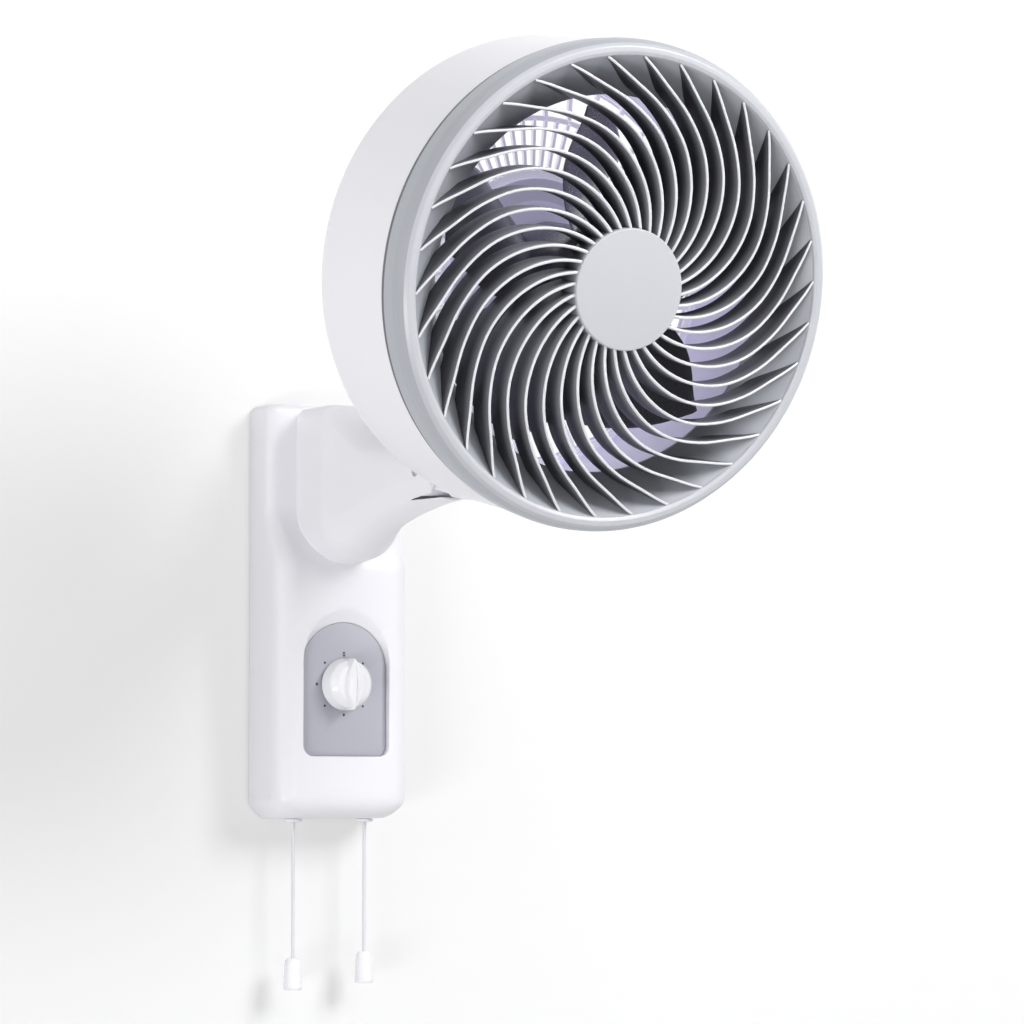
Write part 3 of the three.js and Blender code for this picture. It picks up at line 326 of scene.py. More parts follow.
def finished(name, verts, faces, material, body, place=wall_place, sharp=35, slot=None):
    """A closed mesh from millimetre points, in its place in the wall's frame."""
    mesh = bpy.data.meshes.new(name)
    mesh.from_pydata([tuple(v) for v in verts], [], [tuple(f) for f in faces])
    work = bmesh.new()
    work.from_mesh(mesh)
    bmesh.ops.remove_doubles(work, verts=work.verts, dist=1e-5)
    bmesh.ops.recalc_face_normals(work, faces=work.faces)
    work.to_mesh(mesh)
    work.free()
    mesh.transform(to_metres @ place)
    mesh.update()
    mesh.materials.append(material)
    shade(mesh, sharp)
    piece = bpy.data.objects.new(name, mesh)
    bpy.context.scene.collection.objects.link(piece)
    piece["body"] = body
    if slot:
        piece["slot"] = slot
    return piece


def on_head(name, shape, material, slot="white_plastic", sharp=40, body="fan_head"):
    """A finished piece whose points are in the head's own frame."""
    return finished(name, *shape, material, body, head_place, sharp, slot)


def block(shape, place=wall_place):
    """A plain solid that cuts another piece or is joined to it, and is then put away."""
    return finished("block", *shape, white_shell, "wall_mount", place)


def painted(piece, material, where):
    """Gives a second finish to the faces whose middle and direction, in the head's frame, pass a test."""
    back = head_place.inverted()
    turn = back.to_3x3()
    piece.data.materials.append(material)
    index = len(piece.data.materials) - 1
    for face in piece.data.polygons:
        if where(back @ (face.center / MM), turn @ face.normal):
            face.material_index = index
    return piece


def shade(mesh, sharp):
    """Smooth faces, with the edges sharper than an angle kept crisp."""
    mesh.polygons.foreach_set("use_smooth", [True] * len(mesh.polygons))
    mesh.set_sharp_from_angle(angle=math.radians(sharp))


def bake(piece, sharp=None):
    """Applies a piece's modifiers to its mesh."""
    bpy.context.view_layer.update()
    seen = piece.evaluated_get(bpy.context.evaluated_depsgraph_get())
    mesh = bpy.data.meshes.new_from_object(seen)
    piece.modifiers.clear()
    piece.data = mesh
    if sharp is not None:
        shade(mesh, sharp)
    return piece


def bevel(piece, width, segments=2, angle=35, sharp=None):
    """Rounds a piece's sharp edges by a width in millimetres."""
    tool = piece.modifiers.new("edges", "BEVEL")
    tool.width = width * MM
    tool.segments = segments
    tool.limit_method = "ANGLE"
    tool.angle_limit = math.radians(angle)
    tool.harden_normals = False
    tool.use_clamp_overlap = True
    return bake(piece, angle if sharp is None else sharp)


def carve(piece, *tools, operation="DIFFERENCE"):
    """Cuts tools out of a piece (or joins them on), and puts the tools away."""
    for tool in tools:
        step = piece.modifiers.new("cut", "BOOLEAN")
        step.operation = operation
        step.solver = "EXACT"
        step.object = tool
    bake(piece)
    for tool in tools:
        bpy.data.objects.remove(tool)
    return piece


def rounded(path, turns=5):
    """A profile of [across, along, radius] corners, with each corner turned into an arc."""
    points = []
    count = len(path)
    for i, corner in enumerate(path):
        here = np.array(corner[:2], float)
        radius = corner[2] if len(corner) > 2 else 0
        if radius <= 0:
            points.append(tuple(here))
            continue
        back = np.array(path[i - 1][:2], float) - here
        on = np.array(path[(i + 1) % count][:2], float) - here
        long_back, long_on = np.linalg.norm(back), np.linalg.norm(on)
        back, on = back / long_back, on / long_on
        angle = math.acos(max(-1, min(1, float(back @ on))))
        if angle > math.pi - 0.02:
            points.append(tuple(here))
            continue
        run = min(radius / math.tan(angle / 2), 0.48 * long_back, 0.48 * long_on)
        radius = run * math.tan(angle / 2)
        middle = here + (back + on) / np.linalg.norm(back + on) * radius / math.sin(angle / 2)
        start, end = here + back * run, here + on * run
        a0 = math.atan2(*(start - middle)[::-1])
        a1 = math.atan2(*(end - middle)[::-1])
        turn = (a1 - a0 + math.pi) % TAU - math.pi
        for k in range(turns + 1):
            a = a0 + turn * k / turns
            points.append((middle[0] + radius * math.cos(a), middle[1] + radius * math.sin(a)))
    return points


def turned(profile, sides=128, axis="Y"):
    """Points and faces of a profile of (radius, along) turned round an axis."""
    verts, rings, faces = [], [], []
    for radius, along in profile:
        if radius < 1e-6:
            rings.append([len(verts)])
            verts.append((0, along, 0))
            continue
        rings.append(list(range(len(verts), len(verts) + sides)))
        verts += [
            (radius * math.cos(k * TAU / sides), along, radius * math.sin(k * TAU / sides))
            for k in range(sides)
        ]
    pairs = list(zip(rings, rings[1:]))
    if len(rings[0]) > 1 and len(rings[-1]) > 1:
        pairs.append((rings[-1], rings[0]))
    for a, b in pairs:
        if len(a) == 1 and len(b) == 1:
            continue
        for k in range(sides):
            n = (k + 1) % sides
            if len(a) == 1:
                faces.append((a[0], b[n], b[k]))
            elif len(b) == 1:
                faces.append((a[k], a[n], b[0]))
            else:
                faces.append((a[k], a[n], b[n], b[k]))
    if axis == "Z":
        verts = [(x, z, y) for x, y, z in verts]
    if axis == "X":
        verts = [(y, x, z) for x, y, z in verts]
    return verts, faces


def moved(shape, x=0.0, y=0.0, z=0.0):
    verts, faces = shape
    return [(a + x, b + y, c + z) for a, b, c in verts], faces


def together(*shapes):
    """Several closed shapes as one list of points and faces."""
    verts, faces = [], []
    for more, their in shapes:
        start = len(verts)
        verts += more
        faces += [tuple(start + i for i in face) for face in their]
    return verts, faces


def skinned(loops):
    """Points and faces of closed loops, skinned one after another and closed at both ends."""
    n = len(loops[0])
    verts = [p for loop in loops for p in loop]
    faces = []
    for k in range(len(loops) - 1):
        for i in range(n):
            j = (i + 1) % n
            faces.append((k * n + i, k * n + j, (k + 1) * n + j, (k + 1) * n + i))
    last = (len(loops) - 1) * n
    faces.append(tuple(reversed(range(n))))
    faces.append(tuple(range(last, last + n)))
    return verts, faces


def rod(radius, start, end, x=0, z=0, sides=32, axis="Y"):
    """A plain round bar, for cutting and for small shanks."""
    verts, faces = turned([(0, start), (radius, start), (radius, end), (0, end)], sides, axis)
    if axis == "Z":
        return moved((verts, faces), x=x, y=z)
    if axis == "X":
        return moved((verts, faces), y=x, z=z)
    return moved((verts, faces), x=x, z=z)


def brick(x0, x1, y0, y1, z0, z1):
    corners = [(x, y, z) for x in (x0, x1) for y in (y0, y1) for z in (z0, z1)]
    faces = [(0, 1, 3, 2), (4, 6, 7, 5), (0, 4, 5, 1), (2, 3, 7, 6), (0, 2, 6, 4), (1, 5, 7, 3)]
    return corners, faces


def sheet_of(outline, y0, y1):
    """An outline of (x, z) points, from one depth to another."""
    return skinned([[(x, y0, z) for x, z in outline], [(x, y1, z) for x, z in outline]])


def slab(outline, x0, x1):
    """An outline of (y, z) points, from one side to the other."""
    return skinned([[(x, y, z) for y, z in outline] for x in (x0, x1)])


def lerp(a, b, t):
    return a + (b - a) * t


def smooth(a, b, x):
    t = min(max((x - a) / (b - a), 0), 1)
    return t * t * (3 - 2 * t)


def along(pairs, place):
    """A value read off [place, value] pairs by a smooth curve."""
    places = [p for p, _ in pairs]
    values = [v for _, v in pairs]
    n = len(pairs)
    slopes = []
    for i in range(n):
        if i in (0, n - 1):
            j = min(i, n - 2)
            slopes.append((values[j + 1] - values[j]) / (places[j + 1] - places[j]))
            continue
        left = (values[i] - values[i - 1]) / (places[i] - places[i - 1])
        right = (values[i + 1] - values[i]) / (places[i + 1] - places[i])
        slopes.append(0.0 if left * right <= 0 else 2 * left * right / (left + right))
    k = 0
    while k < n - 2 and place > places[k + 1]:
        k += 1
    h = places[k + 1] - places[k]
    t = min(max((place - places[k]) / h, 0), 1)
    return (
        values[k] * (2 * t**3 - 3 * t**2 + 1) + slopes[k] * h * (t**3 - 2 * t**2 + t)
        + values[k + 1] * (3 * t**2 - 2 * t**3) + slopes[k + 1] * h * (t**3 - t**2)
    )


# ---------------------------------------------------------------- repeated pieces


def round_tree(name):
    """A node tree that sets copies of a piece in a circle round its own Y axis."""
    tree = bpy.data.node_groups.new(name, "GeometryNodeTree")
    face = tree.interface
    face.new_socket("Piece", in_out="INPUT", socket_type="NodeSocketGeometry")
    face.new_socket("Copies", in_out="INPUT", socket_type="NodeSocketInt")
    face.new_socket("First angle", in_out="INPUT", socket_type="NodeSocketFloat")
    face.new_socket("Finish", in_out="INPUT", socket_type="NodeSocketMaterial")
    face.new_socket("Set", in_out="OUTPUT", socket_type="NodeSocketGeometry")
    add = tree.nodes.new
    link = tree.links.new
    come, go = add("NodeGroupInput"), add("NodeGroupOutput")
    points = add("GeometryNodePoints")
    link(come.outputs["Copies"], points.inputs["Count"])
    index = add("GeometryNodeInputIndex")
    step = add("ShaderNodeMath")
    step.operation = "DIVIDE"
    step.inputs[0].default_value = -TAU
    link(come.outputs["Copies"], step.inputs[1])
    angle = add("ShaderNodeMath")
    angle.operation = "MULTIPLY_ADD"
    link(index.outputs[0], angle.inputs[0])
    link(step.outputs[0], angle.inputs[1])
    link(come.outputs["First angle"], angle.inputs[2])
    turn = add("ShaderNodeCombineXYZ")
    link(angle.outputs[0], turn.inputs["Y"])
    copies = add("GeometryNodeInstanceOnPoints")
    link(points.outputs[0], copies.inputs["Points"])
    link(come.outputs["Piece"], copies.inputs["Instance"])
    link(turn.outputs[0], copies.inputs["Rotation"])
    real = add("GeometryNodeRealizeInstances")
    link(copies.outputs[0], real.inputs[0])
    paint = add("GeometryNodeSetMaterial")
    link(real.outputs[0], paint.inputs["Geometry"])
    link(come.outputs["Finish"], paint.inputs["Material"])
    link(paint.outputs[0], go.inputs[0])
    return tree


ring_of_copies = round_tree("ring_of_copies")


def set_round(name, shape, copies, first, material, slot="white_plastic", sharp=40, body="fan_head"):
    """A piece repeated round the head's shaft by the node tree, as one plain mesh."""
    piece = finished(name, *shape, material, body, wall_place, sharp, slot)
    tool = piece.modifiers.new("round", "NODES")
    tool.node_group = ring_of_copies
    names = {s.name: s.identifier for s in ring_of_copies.interface.items_tree if s.in_out == "INPUT"}
    tool[names["Copies"]] = copies
    tool[names["First angle"]] = -math.radians(first)
    tool[names["Finish"]] = material
    bake(piece)
    piece.data.transform(to_metres @ head_place @ to_metres.inverted())
    shade(piece.data, sharp)
    return piece


# ---------------------------------------------------------------- wall box


def quarter_rise(radius, reach):
    """How far a round edge falls back at a distance from its end."""
    return radius - math.sqrt(max(radius**2 - (radius - reach) ** 2, 0))


def box_slice(z, grow):
    """One level slice of the box, seen from above: flat back, rounded front corners."""
    turns, front_steps, slant = 10, 12, 0.85
    step = 1 - smooth(DEPTH["step_bottom"], DEPTH["step_top"], z)
    depth = lerp(DEPTH["upper"], DEPTH["lower"], step) + grow
    half = BOX["half"] + grow
    from_top = BOX["top"] + grow - z
    from_bottom = z - (BOX["bottom"] - grow)
    if from_top < EDGE["top"]:
        rise = quarter_rise(EDGE["top"], from_top)
        depth -= rise
        half -= rise
    if from_bottom < EDGE["bottom"]:
        depth -= quarter_rise(EDGE["bottom"], from_bottom)
    # the lower corners are cut off at a slant, with a soft start
    half -= slant * max(EDGE["chamfer"] - from_bottom, 0) ** 1.5 / EDGE["chamfer"] ** 0.5
    edge = max(lerp(EDGE["upper"], EDGE["lower"], step) + grow, 1)
    back = BOX["back"] - min(grow, 0) * 4
    loop = [(-half, back, z)]
    for i in range(turns + 1):
        a = i / turns * math.pi / 2
        loop.append((-half + edge * (1 - math.cos(a)), -depth + edge * (1 - math.sin(a)), z))
    for i in range(1, front_steps):
        loop.append((lerp(-half + edge, half - edge, i / front_steps), -depth, z))
    for i in range(turns + 1):
        a = i / turns * math.pi / 2
        loop.append((half - edge * (1 - math.sin(a)), -depth + edge * (1 - math.cos(a)), z))
    loop.append((half, back, z))
    return loop


def box_solid(grow):
    """The box's outer form, let out or drawn in: slices closer together where it turns."""
    low, high = BOX["bottom"] - grow, BOX["top"] + grow
    levels = [low + EDGE["bottom"] * (1 - math.cos(k / 10 * math.pi / 2)) for k in range(10)]
    levels += [lerp(low + EDGE["bottom"], DEPTH["step_bottom"] - 4, k / 30) for k in range(31)]
    levels += [lerp(DEPTH["step_bottom"], DEPTH["step_top"], k / 20) for k in range(21)]
    levels += [DEPTH["step_top"] + 6]
    levels += [high - EDGE["top"] * (1 - math.sin(k / 8 * math.pi / 2)) for k in range(9)]
    levels[-1] -= 0.02
    return skinned([box_slice(z, grow) for z in levels])


def arch(grow):
    """The arch-topped outline of the control plate, as (x, z) points."""
    corner, turns, corner_turns = 7, 40, 8
    w = DIAL["half"] + grow
    low = DIAL["bottom"] - grow
    spring = DIAL["top"] - DIAL["half"]
    points = []
    for k in range(turns + 1):
        a = math.pi * k / turns
        points.append((w * math.cos(a), spring + w * math.sin(a)))
    for cx, start in ((-w + corner, math.pi), (w - corner, 1.5 * math.pi)):
        for k in range(corner_turns + 1):
            a = start + k / corner_turns * math.pi / 2
            points.append((cx + corner * math.cos(a), low + corner + corner * math.sin(a)))
    return points


def scooped(share, more=0.0):
    """The plate's outline, let out round its arch by a share of the scoop's reach."""
    spring = DIAL["top"] - DIAL["half"]
    points = []
    for x, z in arch(0.25 + more):
        turn = math.atan2(max(z - spring, 0), abs(x)) if z > spring else 0
        reach = SCOOP["reach"] * math.sin(turn) ** 1.5 * share
        far = math.hypot(x, z - spring)
        points.append((x * (1 + reach / far), z + (z - spring) / far * reach) if reach else (x, z))
    return points


def wall_box():
    """The white box: a hollow shell with a lined pocket for the dial, and holes for knob and cords."""
    shell = finished("front_cover_shell", *box_solid(0), white_shell, "wall_mount", slot="white_plastic")
    floor, wall = DIAL["face"] + DIAL["thick"], LINING["wall"]
    carve(shell, block(box_solid(-BOX["wall"])))
    carve(shell, block(sheet_of(scooped(1, wall), floor + wall, LINING["front"])), operation="UNION")
    # the pocket goes straight up from its floor, then opens into the scoop above the plate
    loops = [[(x, floor, z) for x, z in scooped(0)]]
    steps, clear = 12, -60
    for k in range(steps + 1):
        t = k / steps
        depth = DIAL["face"] + 0.05 - SCOOP["depth"] * (1 - (1 - t) ** 1.3)
        loops.append([(x, depth, z) for x, z in scooped(t)])
    loops.append([(x, clear, z) for x, z in scooped(1)])
    carve(shell, block(skinned(loops)))
    holes = [rod(HOLES["cord"], -140, -124, s * PULL["x"], PULL["y"], 40, "Z") for s in (-1, 1)]
    holes.append(rod(HOLES["knob"], -30, -50, 0, DIAL["z"], 40))
    carve(shell, block(together(*holes)))
    return bevel(shell, 0.8, 3, 50, sharp=40)


cover_shell = wall_box()
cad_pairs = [(cover_shell, ["front_cover"])]


def control_plate():
    """The grey arched plate, with its hole for the knob's shaft."""
    outline = sheet_of(arch(-0.15), DIAL["face"] + DIAL["thick"], DIAL["face"])
    plate = finished("dial_plate", *outline, plate_grey, "wall_mount", slot="plate_grey")
    carve(plate, block(rod(HOLES["plate"], -35, -45, 0, DIAL["z"], 40)))
    return bevel(plate, 0.3, 2, 40)


def nought(x, z, y0, y1):
    """An open oval ring from one depth to another."""
    n = 32
    outside = []
    for i in range(n):
        a = i / n * TAU
        outside.append((x + MARKS["wide"] * math.cos(a), z + MARKS["tall"] * math.sin(a)))
    inner = MARKS["inner"]
    verts = []
    for y in (y0, y1):
        verts += [(px, y, pz) for px, pz in outside]
        verts += [(x + (px - x) * inner, y, z + (pz - z) * inner) for px, pz in outside]
    faces = []
    for i in range(n):
        j = (i + 1) % n
        faces += [
            (i, j, n + j, n + i), (2 * n + i, 3 * n + i, 3 * n + j, 2 * n + j),
            (i, 2 * n + i, 2 * n + j, j), (n + i, n + j, 3 * n + j, 3 * n + i),
        ]
    return verts, faces


def dial_marks():
    """Printed marks round the knob: a nought at the top and a dot at each other step."""
    y0, y1 = DIAL["face"] + 0.2, DIAL["face"] - 0.05
    count, dot = MARKS["count"], MARKS["dot"]
    shapes = []
    for k in range(count):
        a = math.radians(90 + 360 / count * k)
        x, z = MARKS["circle"] * math.cos(a), DIAL["z"] + MARKS["circle"] * math.sin(a)
        if k == 0:
            shapes.append(nought(x, z, y0, y1))
            continue
        tall = 0.8 if k % 2 else 1.0
        verts, faces = turned([(0, y0), (dot, y0), (dot, y1), (0, y1)], 24)
        shapes.append(moved(([(u, v, w * tall / dot) for u, v, w in verts], faces), x=x, z=z))
    return finished("dial_marks", *together(*shapes), dial_ink, "wall_mount", slot="black_plastic")


def speed_knob():
    """A tapered knob with a raised grip across it, spindle-shaped and ridged like a roof."""
    r, back, front = KNOB["radius"], KNOB["back"], KNOB["front"]
    skirt = turned(rounded([
        (0, back), (r - 0.7, back, 0.3), (r - 0.4, back - 1.0, 0.6), (r - 2.1, front + 5, 3),
        (r - 5.6, front + 0.9, 3.4), (0, front),
    ], 6), 96)
    body = finished("speed_knob", *moved(skirt, z=DIAL["z"]), white_knob, "speed_knob", slot="white_plastic")
    # levels of the grip, from inside the knob out to its ridge: depth, share of width, share of length
    levels = [
        (back - 3, 1.12, 1.0), (front + 2, 1.0, 1.0), (front - 2.3, 0.9, 0.98),
        (front - 2.9, 0.8, 0.955), (front - 4.0, 0.12, 0.86),
    ]
    steps = 72
    loops = []
    for y, narrow, short in levels:
        reach = (r - 0.5) * short
        loop = []
        for k in range(steps):
            a = k / steps * TAU
            z = reach * math.sin(a)
            half = KNOB["grip"] * narrow * max(1 - (abs(z) / reach) ** 2, 0) ** 0.8
            side = 0 if abs(math.cos(a)) < 1e-6 else math.copysign(1, math.cos(a))
            loop.append((half * side, y + KNOB["bow"] * (z / reach) ** 2, z + DIAL["z"]))
        loops.append(loop)
    carve(body, block(skinned(loops)), operation="UNION")
    return bevel(body, 0.5, 3, 30, sharp=40)


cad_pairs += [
    (control_plate(), ["control_plate"]),
    (speed_knob(), ["knob"]),
    (dial_marks(), []),
]


# ---------------------------------------------------------------- pull cords


def cord_x(side):
    return -PULL["x"] if side == "left" else PULL["x"]


def cord_points(side):
    """The route of a pull cord, in metres: straight down from its switch to its bell."""
    x = cord_x(side)
    low = BELL_BOTTOM[side] + PULL["height"] - PULL["knot"]
    steps = 16
    return [(x * MM, PULL["y"] * MM, lerp(PULL["top"], low, k / steps) * MM) for k in range(steps + 1)]


def cord_tube(side, body):
    """A braided tube along the route, with its own map along and round it."""
    route = cord_points(side)
    sides, lengths, braid_run, radius = 16, 60, 0.1, PULL["cord"] / 2 * MM
    fine = [Vector(route[0]).lerp(Vector(route[-1]), k / lengths) for k in range(lengths + 1)]
    verts = []
    for p in fine:
        for k in range(sides):
            a = k / sides * TAU
            verts.append((p.x + radius * math.cos(a), p.y + radius * math.sin(a), p.z))
    faces = []
    for i in range(lengths):
        for k in range(sides):
            n = (k + 1) % sides
            faces.append((i * sides + k, i * sides + n, (i + 1) * sides + n, (i + 1) * sides + k)[::-1])
    faces.append(tuple(range(sides)))
    faces.append(tuple(reversed(range(len(verts) - sides, len(verts)))))
    mesh = bpy.data.meshes.new(f"cord_{side}")
    mesh.from_pydata(verts, [], faces)
    work = bmesh.new()
    work.from_mesh(mesh)
    bmesh.ops.recalc_face_normals(work, faces=work.faces)
    uv = work.loops.layers.uv.new("UVMap")
    top = fine[0]
    for face in work.faces:
        angles = [math.atan2(l.vert.co.y - top.y, l.vert.co.x - top.x) / TAU for l in face.loops]
        wrap = max(angles) - min(angles) > 0.5
        for loop, a in zip(face.loops, angles):
            loop[uv].uv = (a + 1 if wrap and a < 0 else a, (top.z - loop.vert.co.z) / braid_run)
    work.to_mesh(mesh)
    work.free()
    mesh.materials.append(cord_braid)
    shade(mesh, 60)
    piece = bpy.data.objects.new(f"cord_{side}", mesh)
    bpy.context.scene.collection.objects.link(piece)
    piece["body"] = body
    piece["slot"] = "cord_white"
    return piece, route


def bell(side, body):
    """A small tapered bell with a collar and a bore for the cord's knot."""
    low, h, r = BELL_BOTTOM[side], PULL["height"], PULL["radius"]
    high = low + h
    bore = PULL["cord"] / 2 + 0.12
    profile = rounded([
        (0, low), (r - 0.5, low, 1.0), (r, low + 1.8, 1.0), (r - 0.2, low + 4.5, 2), (5.35, high - 4.4, 0.6),
        (5.15, high - 4.2, 0.2), (4.7, high - 1.4, 1.2), (3.1, high, 0.8), (bore, high, 0.2),
        (bore, high - 3.7), (0, high - 3.7),
    ], 6)
    shape = moved(turned(profile, 64, "Z"), x=cord_x(side), y=PULL["y"])
    return finished(f"bell_{side}", *shape, white_bell, body, slot="white_plastic")


def bush(side):
    """The lipped bush that a cord leaves the box through."""
    bore, neck, lip, low, high = 1.9, 4.2, 5.4, -134.2, -125.5
    profile = rounded([
        (bore, low, 0.5), (lip, low, 0.7), (lip, -132.3, 0.2), (neck, -132.3), (neck, high, 0.2),
        (bore, high, 0.2),
    ], 4)
    shape = moved(turned(profile, 48, "Z"), x=cord_x(side), y=PULL["y"])
    return finished(f"cord_bush_{side}_lip", *shape, white_shell, "wall_mount", slot="nylon")


cords = {}
for side in ("left", "right"):
    body = f"{side}_pull"
    tube, route = cord_tube(side, body)
    weight = bell(side, body)
    cords[side] = (tube, route, weight)
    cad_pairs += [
        (tube, [f"pull_cord_{side}"]), (weight, [f"pull_bell_{side}"]), (bush(side), [f"cord_bush_{side}"]),
    ]

# ---------------------------------------------------------------- arm

ARM_FORM = dict(
    bottom=[(24, 28), (61, 30.5), (75, 37), (90, 44.5), (110, 50.5), (150, 57.5), (185, 61), (206, 62.4)],
    top=[(24, 129), (61, 129), (68, 125), (78, 117), (92, 109), (112, 103), (150, 99), (206, 98)],
    half=[(24, 28), (61, 28), (68, 25.6), (80, 22.6), (96, 20.4), (118, 19), (150, 18.3), (206, 18)],
    shoulder=[(24, 8), (61, 8), (80, 12), (110, 16), (206, 16)],
)


def arm_slice(distance):
    """One upright slice of the arm: a round belly under a flat-topped, round-shouldered back."""
    turns, shoulder_turns = 24, 8
    half = along(ARM_FORM["half"], distance)
    top = along(ARM_FORM["top"], distance)
    low = along(ARM_FORM["bottom"], distance)
    shoulder = max(min(along(ARM_FORM["shoulder"], distance), half), 1)
    belly = min(half, (top - low) / 2)
    loop = []
    for i in range(turns + 1):
        a = math.pi + i / turns * math.pi
        loop.append((half * math.cos(a), -distance, low + belly + belly * math.sin(a)))
    for side, start in ((1, 0), (-1, math.pi / 2)):
        for i in range(shoulder_turns + 1):
            a = start + i / shoulder_turns * math.pi / 2
            in_from_side = half - shoulder * (1 - side * math.cos(a))
            loop.append((side * in_from_side, -distance, top - shoulder * (1 - math.sin(a))))
    return loop


def arm_shell():
    """The arm from its flared foot to the two cheeks of its knuckle."""
    steps = [26.9, 30, 40, 50, 56, 59, 60.5, 61]
    steps += [61 + k * 1.8 for k in range(1, 28)]
    steps += [112 + k * 6 for k in range(17)]
    form = skinned([arm_slice(d) for d in steps])
    shell = finished("arm_shell", *form, white_shell, "wall_mount", slot="white_plastic")
    y, z, r, inside = KNUCKLE["y"], KNUCKLE["z"], KNUCKLE["radius"], KNUCKLE["inside"]
    end, web = KNUCKLE["web_end"], KNUCKLE["web_top"]
    outline = [(-20, 10), (-20, 150), (y, 150), (y, z + r)]
    for k in range(1, 25):
        a = k / 24 * math.pi * 0.86
        outline.append((y - r * math.sin(a), z + r * math.cos(a)))
    outline += [(end, web + 1.2), (end - 2, web - 1), (end - 2, 10)]
    carve(shell, block(slab(outline, -40, 40)), operation="INTERSECT")
    carve(shell, block(brick(-inside, inside, y + r + 1, -230, web, 150)))
    carve(shell, block(rod(HOLES["pin"], -30, 30, y, z, 40, "X")))
    return bevel(shell, 0.7, 3, 50, sharp=40)


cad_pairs.append((arm_shell(), ["arm"]))

# ---------------------------------------------------------------- neck and swing drive

tilt_cos, tilt_sin = math.cos(math.radians(HEAD["tilt"])), math.sin(math.radians(HEAD["tilt"]))
knuckle_y = (KNUCKLE["y"] - HEAD["y"]) * tilt_cos + (KNUCKLE["z"] - HEAD["z"]) * tilt_sin
knuckle_z = -(KNUCKLE["y"] - HEAD["y"]) * tilt_sin + (KNUCKLE["z"] - HEAD["z"]) * tilt_cos


def neck_post():
    """The neck: a barrel on the tilt pin, a beam, a ramp and the post that the head swings on."""
    half = KNUCKLE["inside"] - 0.6
    low = knuckle_z - 13.4
    column = turned(rounded([
        (0, low + 2), (10, low + 2, 3), (14.2, low + 6, 5), (15, low + 14, 8), (16, -84, 3), (16, -66, 2),
        (13, -60, 1), (6, -60, 0.6), (6, -44.4, 0.5), (0, -44.4),
    ], 6), 96, "Z")
    body = on_head("neck_post", moved(column, y=SWING["y"]), white_shell, sharp=35, body="tilting_neck")
    barrel = rod(15.6, -half, half, knuckle_y, knuckle_z, 72, "X")
    beam = brick(-half + 0.4, half - 0.4, SWING["y"], knuckle_y, knuckle_z - 9.5, knuckle_z + 12)
    bend, bend_steps, high = 14, 12, knuckle_z + 30
    side = [(SWING["y"], knuckle_z + 8), (knuckle_y - 3.5, knuckle_z + 8)]
    for k in range(bend_steps + 1):
        a = -math.pi / 2 - k / bend_steps * math.pi / 2
        side.append((knuckle_y + 5 + bend * math.cos(a), high + bend * math.sin(a)))
    side.append((SWING["y"], high))
    ramp = slab(side, -half + 0.4, half - 0.4)
    for shape in (barrel, beam, ramp):
        carve(body, block(shape, head_place), operation="UNION")
    carve(body, block(rod(HOLES["pin"], -40, 40, knuckle_y, knuckle_z, 40, "X"), head_place))
    return bevel(body, 0.8, 3, 40, sharp=40)


def gear_housing():
    """The round housing under the motor, a little behind the post that goes up through its floor."""
    low, floor, rim = -66, -64, -51.2
    middle = SWING["y"] + 8
    profile = rounded([
        (17.3, low, 0.5), (33, low, 4), (38, -61, 3), (38, rim, 0.4), (36, rim, 0.4), (36, -60.4, 2),
        (32, floor, 3), (17.3, floor, 0.3),
    ], 6)
    body = on_head("gear_housing", moved(turned(profile, 112, "Z"), y=middle), white_shell, sharp=35)
    fill = turned([(0, low), (20, low), (20, floor), (0, floor)], 64, "Z")
    carve(body, block(moved(fill, y=middle), head_place), operation="UNION")
    hole = turned([(0, -70), (17.2, -70), (17.2, -60), (0, -60)], 64, "Z")
    return carve(body, block(moved(hole, y=SWING["y"]), head_place))


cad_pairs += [(neck_post(), ["neck"]), (gear_housing(), ["gear_cover"])]

# ---------------------------------------------------------------- head


def drum():
    """The drum's outer shell, rolled over at the rear into the inlet lip and the duct."""
    r, front, back = DRUM["radius"], DRUM["front"], DRUM["back"]
    edge, wall, bore = DRUM["edge"], DRUM["wall"], DRUM["bore"]
    profile = rounded([
        (r, front, 0.5), (r, back, edge), (bore - 5.5, back, 1.6), (bore - 5.5, back - 3.4, 1.0),
        (bore, back - 3.4, 0.3), (bore, front + 4, 0.6), (bore + wall, front + 4, 0.6),
        (bore + wall, back - wall, 1), (r - wall, back - wall, edge - wall), (r - wall, front, 0.5),
    ], 10)
    shell = on_head("drum_shell", turned(profile, 240), white_shell, sharp=50)

    def in_duct(place, way):
        return math.hypot(place.x, place.z) < bore + wall + 0.1 and place.y < back - 1

    # the duct's inner wall gets the lilac painted shade with its painted glow
    return painted(shell, duct_painted_shade_and_glow, in_duct)


